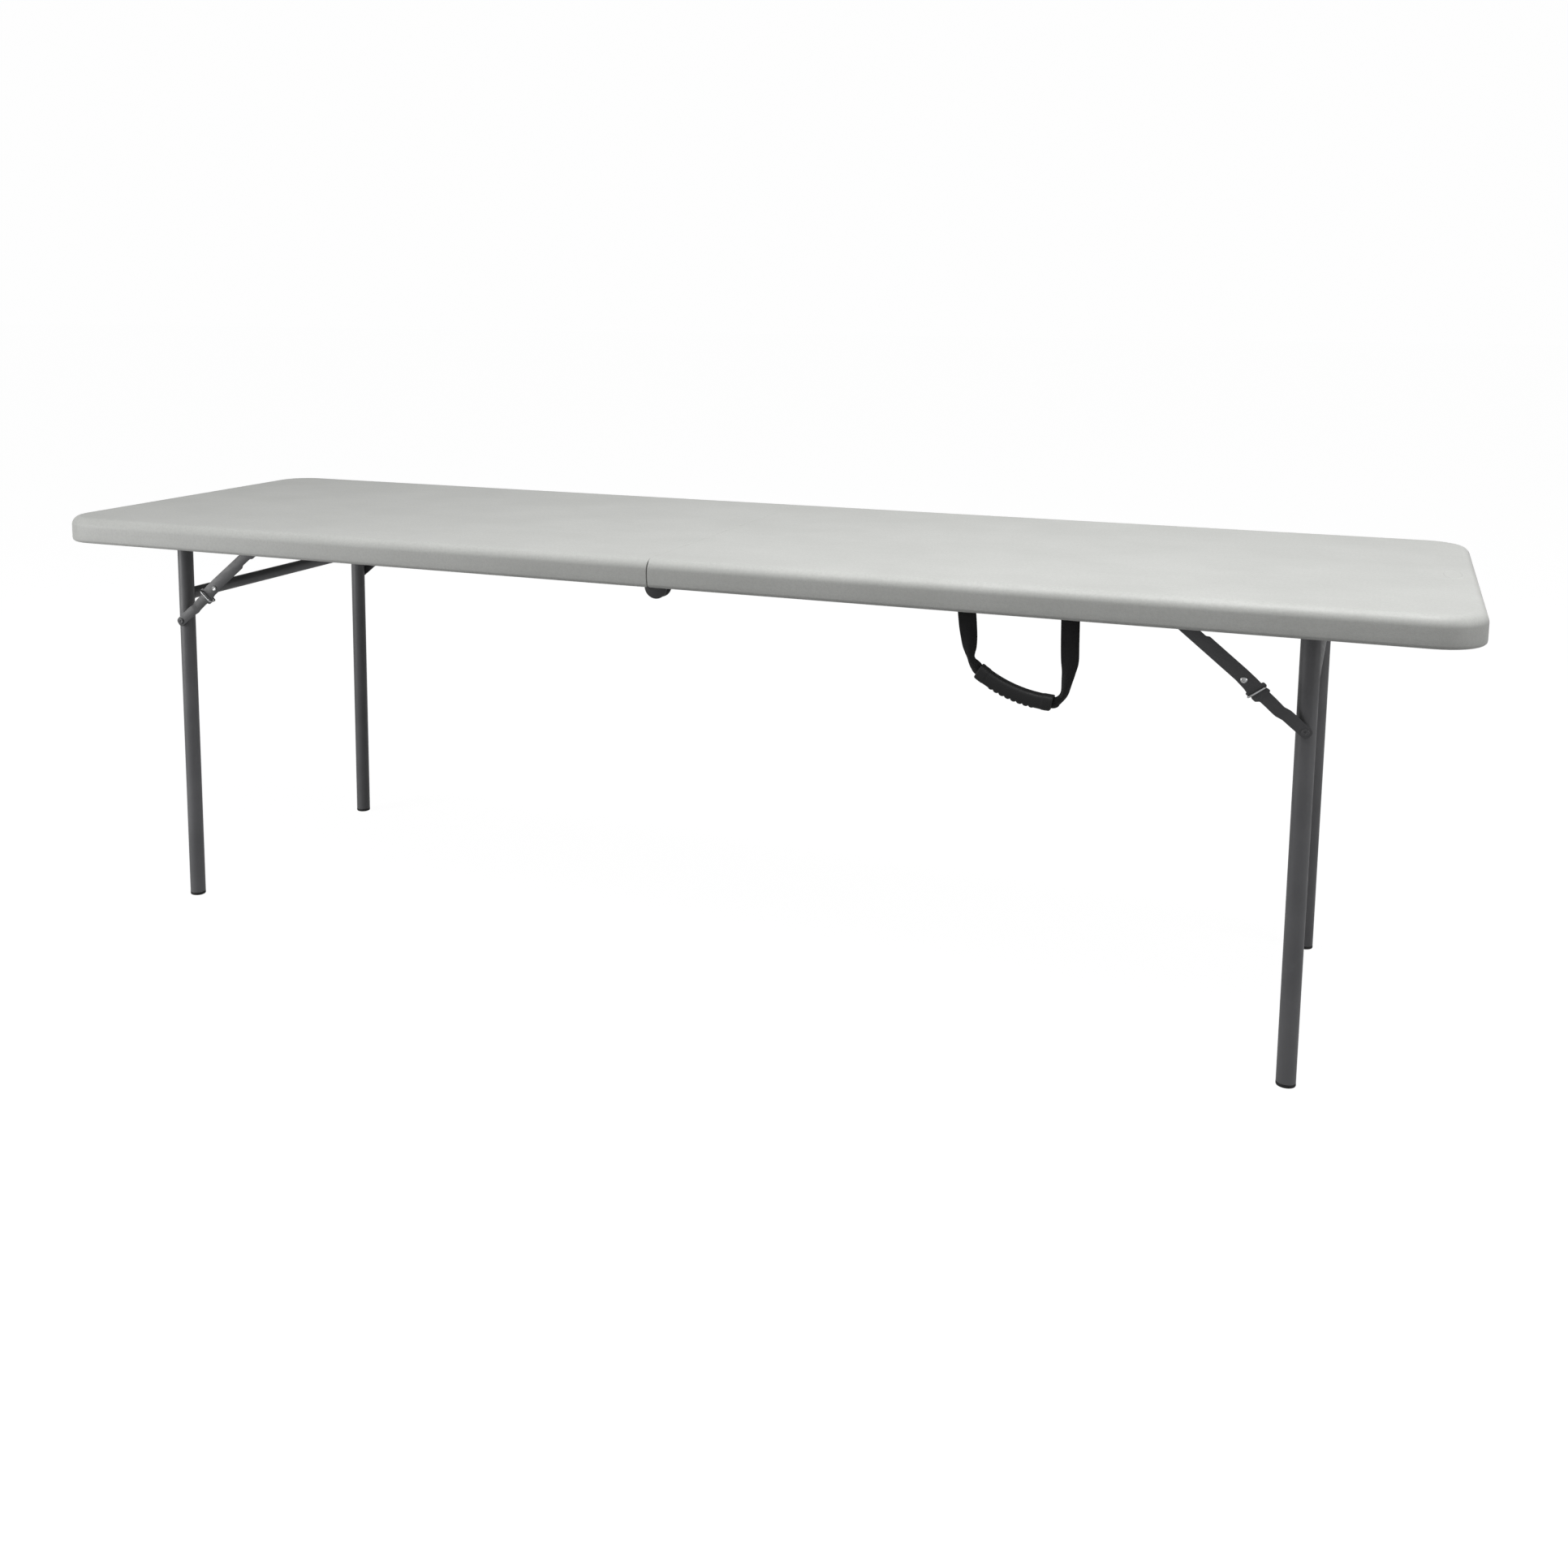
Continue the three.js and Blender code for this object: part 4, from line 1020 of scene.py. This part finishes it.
def make_grip():
    """A rubber sleeve with a row of finger lobes underneath, a thin collar at each end and slanted ends."""
    length = (GRIP_END - GRIP_START).length
    lobes_start = (length - LOBE_COUNT * LOBE_PITCH) / 2
    rings = []
    for i in range(GRIP_STATIONS + 1):
        t = i / GRIP_STATIONS
        point, along = grip_point(t)
        run = t * length
        near_start = 1 - smoothstep(run, 0, SLANT_REACH)
        near_end = 1 - smoothstep(length - run, 0, SLANT_REACH)
        turn = START_SLANT * near_start + END_SLANT * near_end
        along = Vector((along.x * math.cos(turn) - along.z * math.sin(turn), 0,
                        along.x * math.sin(turn) + along.z * math.cos(turn)))
        up = Vector((-along.z, 0, along.x))
        edge = min(run, length - run)
        shrink = 1 - 0.08 * (1 - smoothstep(edge, 0, 1.4 * MM))
        collar = COLLAR * (1 - smoothstep(edge, COLLAR_FROM, COLLAR_TO))
        phase = (run - lobes_start) / LOBE_PITCH
        inside = smoothstep(phase, 0, 0.6) * smoothstep(LOBE_COUNT - phase, 0, 0.6)
        lobe = LOBE_DEPTH * math.sqrt(abs(math.sin(math.pi * phase))) * inside
        ring = []
        for a in angles(GRIP_AROUND):
            c, s = math.cos(a), math.sin(a)
            across = math.copysign(abs(c) ** GRIP_SQUARENESS, c) * (GRIP_DEEP + collar) * shrink
            rise = math.copysign(abs(s) ** GRIP_SQUARENESS, s) * (GRIP_TALL + collar) * shrink
            if s < 0:
                rise -= lobe * smoothstep(-s, 0.2, 0.9) - LOBE_INSET * inside
            ring.append(point + Vector((0, across, 0)) + up * rise)
        rings.append(ring)
    mesh = bmesh.new()
    loft(mesh, rings)
    piece("handle_grip_sleeve", mesh, RUBBER, "handle", ["handle_grip"], math.radians(60))


ANCHOR_LIP = 2.0 * MM
ANCHOR_SHELF = 2.7 * MM
ANCHOR_RIVET_SPREAD = 9 * MM
ANCHOR_RIVET = [(0, 0.2), (3.8, 0.2), (3.8, -0.5), (2.8, -1.5), (1.2, -2), (0, -2.1)]


def make_anchor(side, x):
    """The angle under the rail that holds the strap, with its two rivets."""
    node = f"handle_anchor_{side}"
    low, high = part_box(node)
    lip_y, shelf_z = low.y + ANCHOR_LIP, high.z - ANCHOR_SHELF
    outline = filleted([(low.y, low.z, 0.8 * MM), (lip_y, low.z, 0.8 * MM), (lip_y, shelf_z, 1.2 * MM),
                        (high.y, shelf_z, 0.8 * MM), (high.y, high.z, 0.5 * MM), (low.y, high.z, 2.4 * MM)])
    mesh = bmesh.new()
    to_place = Matrix(((0, 0, 1, low.x), (1, 0, 0, 0), (0, 1, 0, 0), (0, 0, 0, 1)))
    plate(mesh, outline, high.x - low.x, to_place, 0.3 * MM)
    piece(f"{node}_angle", mesh, STEEL, "right_half", [node])
    rivets = bmesh.new()
    for shift in (-ANCHOR_RIVET_SPREAD, ANCHOR_RIVET_SPREAD):
        spot = Vector((x + shift, (low.y + high.y) / 2 + 1 * MM, shelf_z))
        turned(rivets, scaled(ANCHOR_RIVET), spot, "Z", 24)
    piece(f"{node}_rivets", rivets, ZINC, "right_half")


# Stitches, in millimetres. Drift is how far a row moves over per millimetre down the strap.
STITCH_ROWS = (672.5, 669.0, 651.5, 648.0)
STITCH_DRIFTS = ((LEFT_X, 0.095), (RIGHT_X, 0.02))
STITCH_TOP = 690
STITCH_PITCH = 2.5
STITCH_HALF_LENGTH = 1.15
STITCH_HALF_WIDTH = 0.34
STITCH_HALF_THICK = 0.30
STITCH_SHAPE = ((-1, 0.05), (-0.7, 0.8), (0, 1), (0.7, 0.8), (1, 0.05))


def make_stitching():
    """Bar tacks across the strap below each anchor."""
    mesh = bmesh.new()
    slant = Vector((0.95, 0, 0.3)).normalized()
    over = Vector((-slant.z, 0, slant.x)) * STITCH_HALF_WIDTH
    out = Vector((0, STITCH_HALF_THICK, 0))
    for x, drift in STITCH_DRIFTS:
        for level in STITCH_ROWS:
            for i in range(-4, 5):
                aside = ((STITCH_TOP - level) * drift + i * STITCH_PITCH) * MM
                centre = Vector((x + aside, HANDLE_Y - 1.0 * MM, level * MM))
                rings = []
                for share, radius in STITCH_SHAPE:
                    spot = centre + slant * share * STITCH_HALF_LENGTH * MM
                    rings.append([spot + (over * math.cos(a) + out * math.sin(a)) * radius * MM
                                  for a in angles(8)])
                loft(mesh, rings)
    piece("handle_strap_stitching", mesh, WEBBING, "handle")


make_strap()
make_grip()
make_anchor("left", LEFT_X)
make_anchor("right", RIGHT_X)
make_stitching()


# Floor, light and camera

def by_ray(tree, lit, mirrored, shown, surface):
    """Lights the table with one shader, shows another in its gloss and a third to the camera."""
    path = tree.nodes.new("ShaderNodeLightPath")
    below = lit
    for ray, above in (("Is Glossy Ray", mirrored), ("Is Camera Ray", shown)):
        choose = tree.nodes.new("ShaderNodeMixShader")
        tree.links.new(path.outputs[ray], choose.inputs["Fac"])
        tree.links.new(below, choose.inputs[1])
        tree.links.new(above, choose.inputs[2])
        below = choose.outputs["Shader"]
    tree.links.new(below, surface)


def make_floor():
    """A pale sweep that shows as white paper with a breath of shadow, and is clear from below."""
    mesh = bmesh.new()
    corners = ((-1, -1), (1, -1), (1, 1), (-1, 1))
    mesh.faces.new([mesh.verts.new((x * FLOOR_REACH, y * FLOOR_REACH, FLOOR_Z)) for x, y in corners])
    data = bpy.data.meshes.new("floor")
    mesh.to_mesh(data)
    mesh.free()
    look, tree, shader = material("pale_floor", (FLOOR_LIT,) * 3, 0.9)
    shader.inputs["Specular IOR Level"].default_value = 0.1
    haze = texture(tree, "ShaderNodeTexNoise", 2, Detail=2)
    low, high = (FLOOR_LIT - 0.01,) * 3, (FLOOR_LIT + 0.01,) * 3
    tree.links.new(mixed(tree, haze.outputs["Fac"], low, high), shader.inputs["Base Color"])
    paper = tree.nodes.new("ShaderNodeBsdfPrincipled")
    paper.inputs["Base Color"].default_value = (0.12, 0.12, 0.12, 1)
    paper.inputs["Roughness"].default_value = 1.0
    paper.inputs["Specular IOR Level"].default_value = 0.0
    paper.inputs["Emission Color"].default_value = (1, 1, 1, 1)
    paper.inputs["Emission Strength"].default_value = FLOOR_GLOW
    gloss = tree.nodes.new("ShaderNodeEmission")
    gloss.inputs["Color"].default_value = (1, 1, 1, 1)
    gloss.inputs["Strength"].default_value = FLOOR_MIRRORED
    one_sided = tree.nodes.new("ShaderNodeMixShader")
    side = tree.nodes.new("ShaderNodeNewGeometry")
    clear = tree.nodes.new("ShaderNodeBsdfTransparent")
    tree.links.new(side.outputs["Backfacing"], one_sided.inputs["Fac"])
    tree.links.new(clear.outputs["BSDF"], one_sided.inputs[2])
    tree.links.new(one_sided.outputs["Shader"], tree.nodes["Material Output"].inputs["Surface"])
    by_ray(tree, shader.outputs["BSDF"], gloss.outputs["Emission"], paper.outputs["BSDF"],
           one_sided.inputs[1])
    data.materials.append(look)
    put("floor", data)


def softbox(name, place, aim, size, power):
    light = bpy.data.lights.new(name, "AREA")
    light.shape = "RECTANGLE"
    light.size, light.size_y = size
    light.energy = power
    made = put(name, light)
    made.location = place
    made.rotation_euler = (Vector(aim) - Vector(place)).to_track_quat("-Z", "Y").to_euler()


def make_world(seen, mirrored, lit):
    """A white backdrop that lights the table less than it shows."""
    world = bpy.data.worlds.new("studio")
    world.use_nodes = True
    bpy.context.scene.world = world
    tree = world.node_tree
    shown = tree.nodes["Background"]
    glossy = tree.nodes.new("ShaderNodeBackground")
    lighting = tree.nodes.new("ShaderNodeBackground")
    for shader, strength in ((shown, seen), (glossy, mirrored), (lighting, lit)):
        shader.inputs["Color"].default_value = (1, 1, 1, 1)
        shader.inputs["Strength"].default_value = strength
    by_ray(tree, lighting.outputs["Background"], glossy.outputs["Background"], shown.outputs["Background"],
           tree.nodes["World Output"].inputs["Surface"])


FLOOR_REACH = 40
FLOOR_Z = -0.5 * MM
FLOOR_GLOW = 0.975
FLOOR_LIT = 0.30
FLOOR_MIRRORED = 0.55
make_floor()
make_world(seen=0.99, mirrored=0.62, lit=0.10)
softbox("key_overhead", (0.85, -0.75, 3.3), (0.2, 0.0, 0.7), (2.8, 1.6), 95)
softbox("right_end", (3.4, -0.7, 1.25), (1.0, 0.0, 0.5), (1.6, 1.6), 17)
softbox("front_left", (-2.6, -1.7, 0.8), (-0.9, 0.0, 0.5), (1.3, 1.3), 29)

CAMERA_PLACE = (1.0713, -2.7883, 1.1632)
CAMERA_YAW = -0.4011
CAMERA_PITCH = -0.1408
CAMERA_ROLL = 0.0035
SENSOR = 36.0
LENS = 38.31056
SHIFT = (0.0689959, -0.164234)


def make_camera():
    data = bpy.data.cameras.new("camera")
    data.sensor_width = SENSOR
    data.lens = LENS
    data.shift_x, data.shift_y = SHIFT
    data.clip_end = 100
    made = put("camera", data)
    flat = math.cos(CAMERA_PITCH)
    forward = Vector((math.sin(CAMERA_YAW) * flat, math.cos(CAMERA_YAW) * flat, math.sin(CAMERA_PITCH)))
    level = Vector((math.cos(CAMERA_YAW), -math.sin(CAMERA_YAW), 0))
    upright = level.cross(forward)
    right = level * math.cos(CAMERA_ROLL) + upright * math.sin(CAMERA_ROLL)
    up = upright * math.cos(CAMERA_ROLL) - level * math.sin(CAMERA_ROLL)
    columns = Matrix((right, up, -forward)).transposed()
    made.matrix_world = Matrix.Translation(CAMERA_PLACE) @ columns.to_4x4()
    bpy.context.scene.camera = made


make_camera()
bpy.context.scene.view_settings.view_transform = "Standard"
bpy.context.view_layer.update()
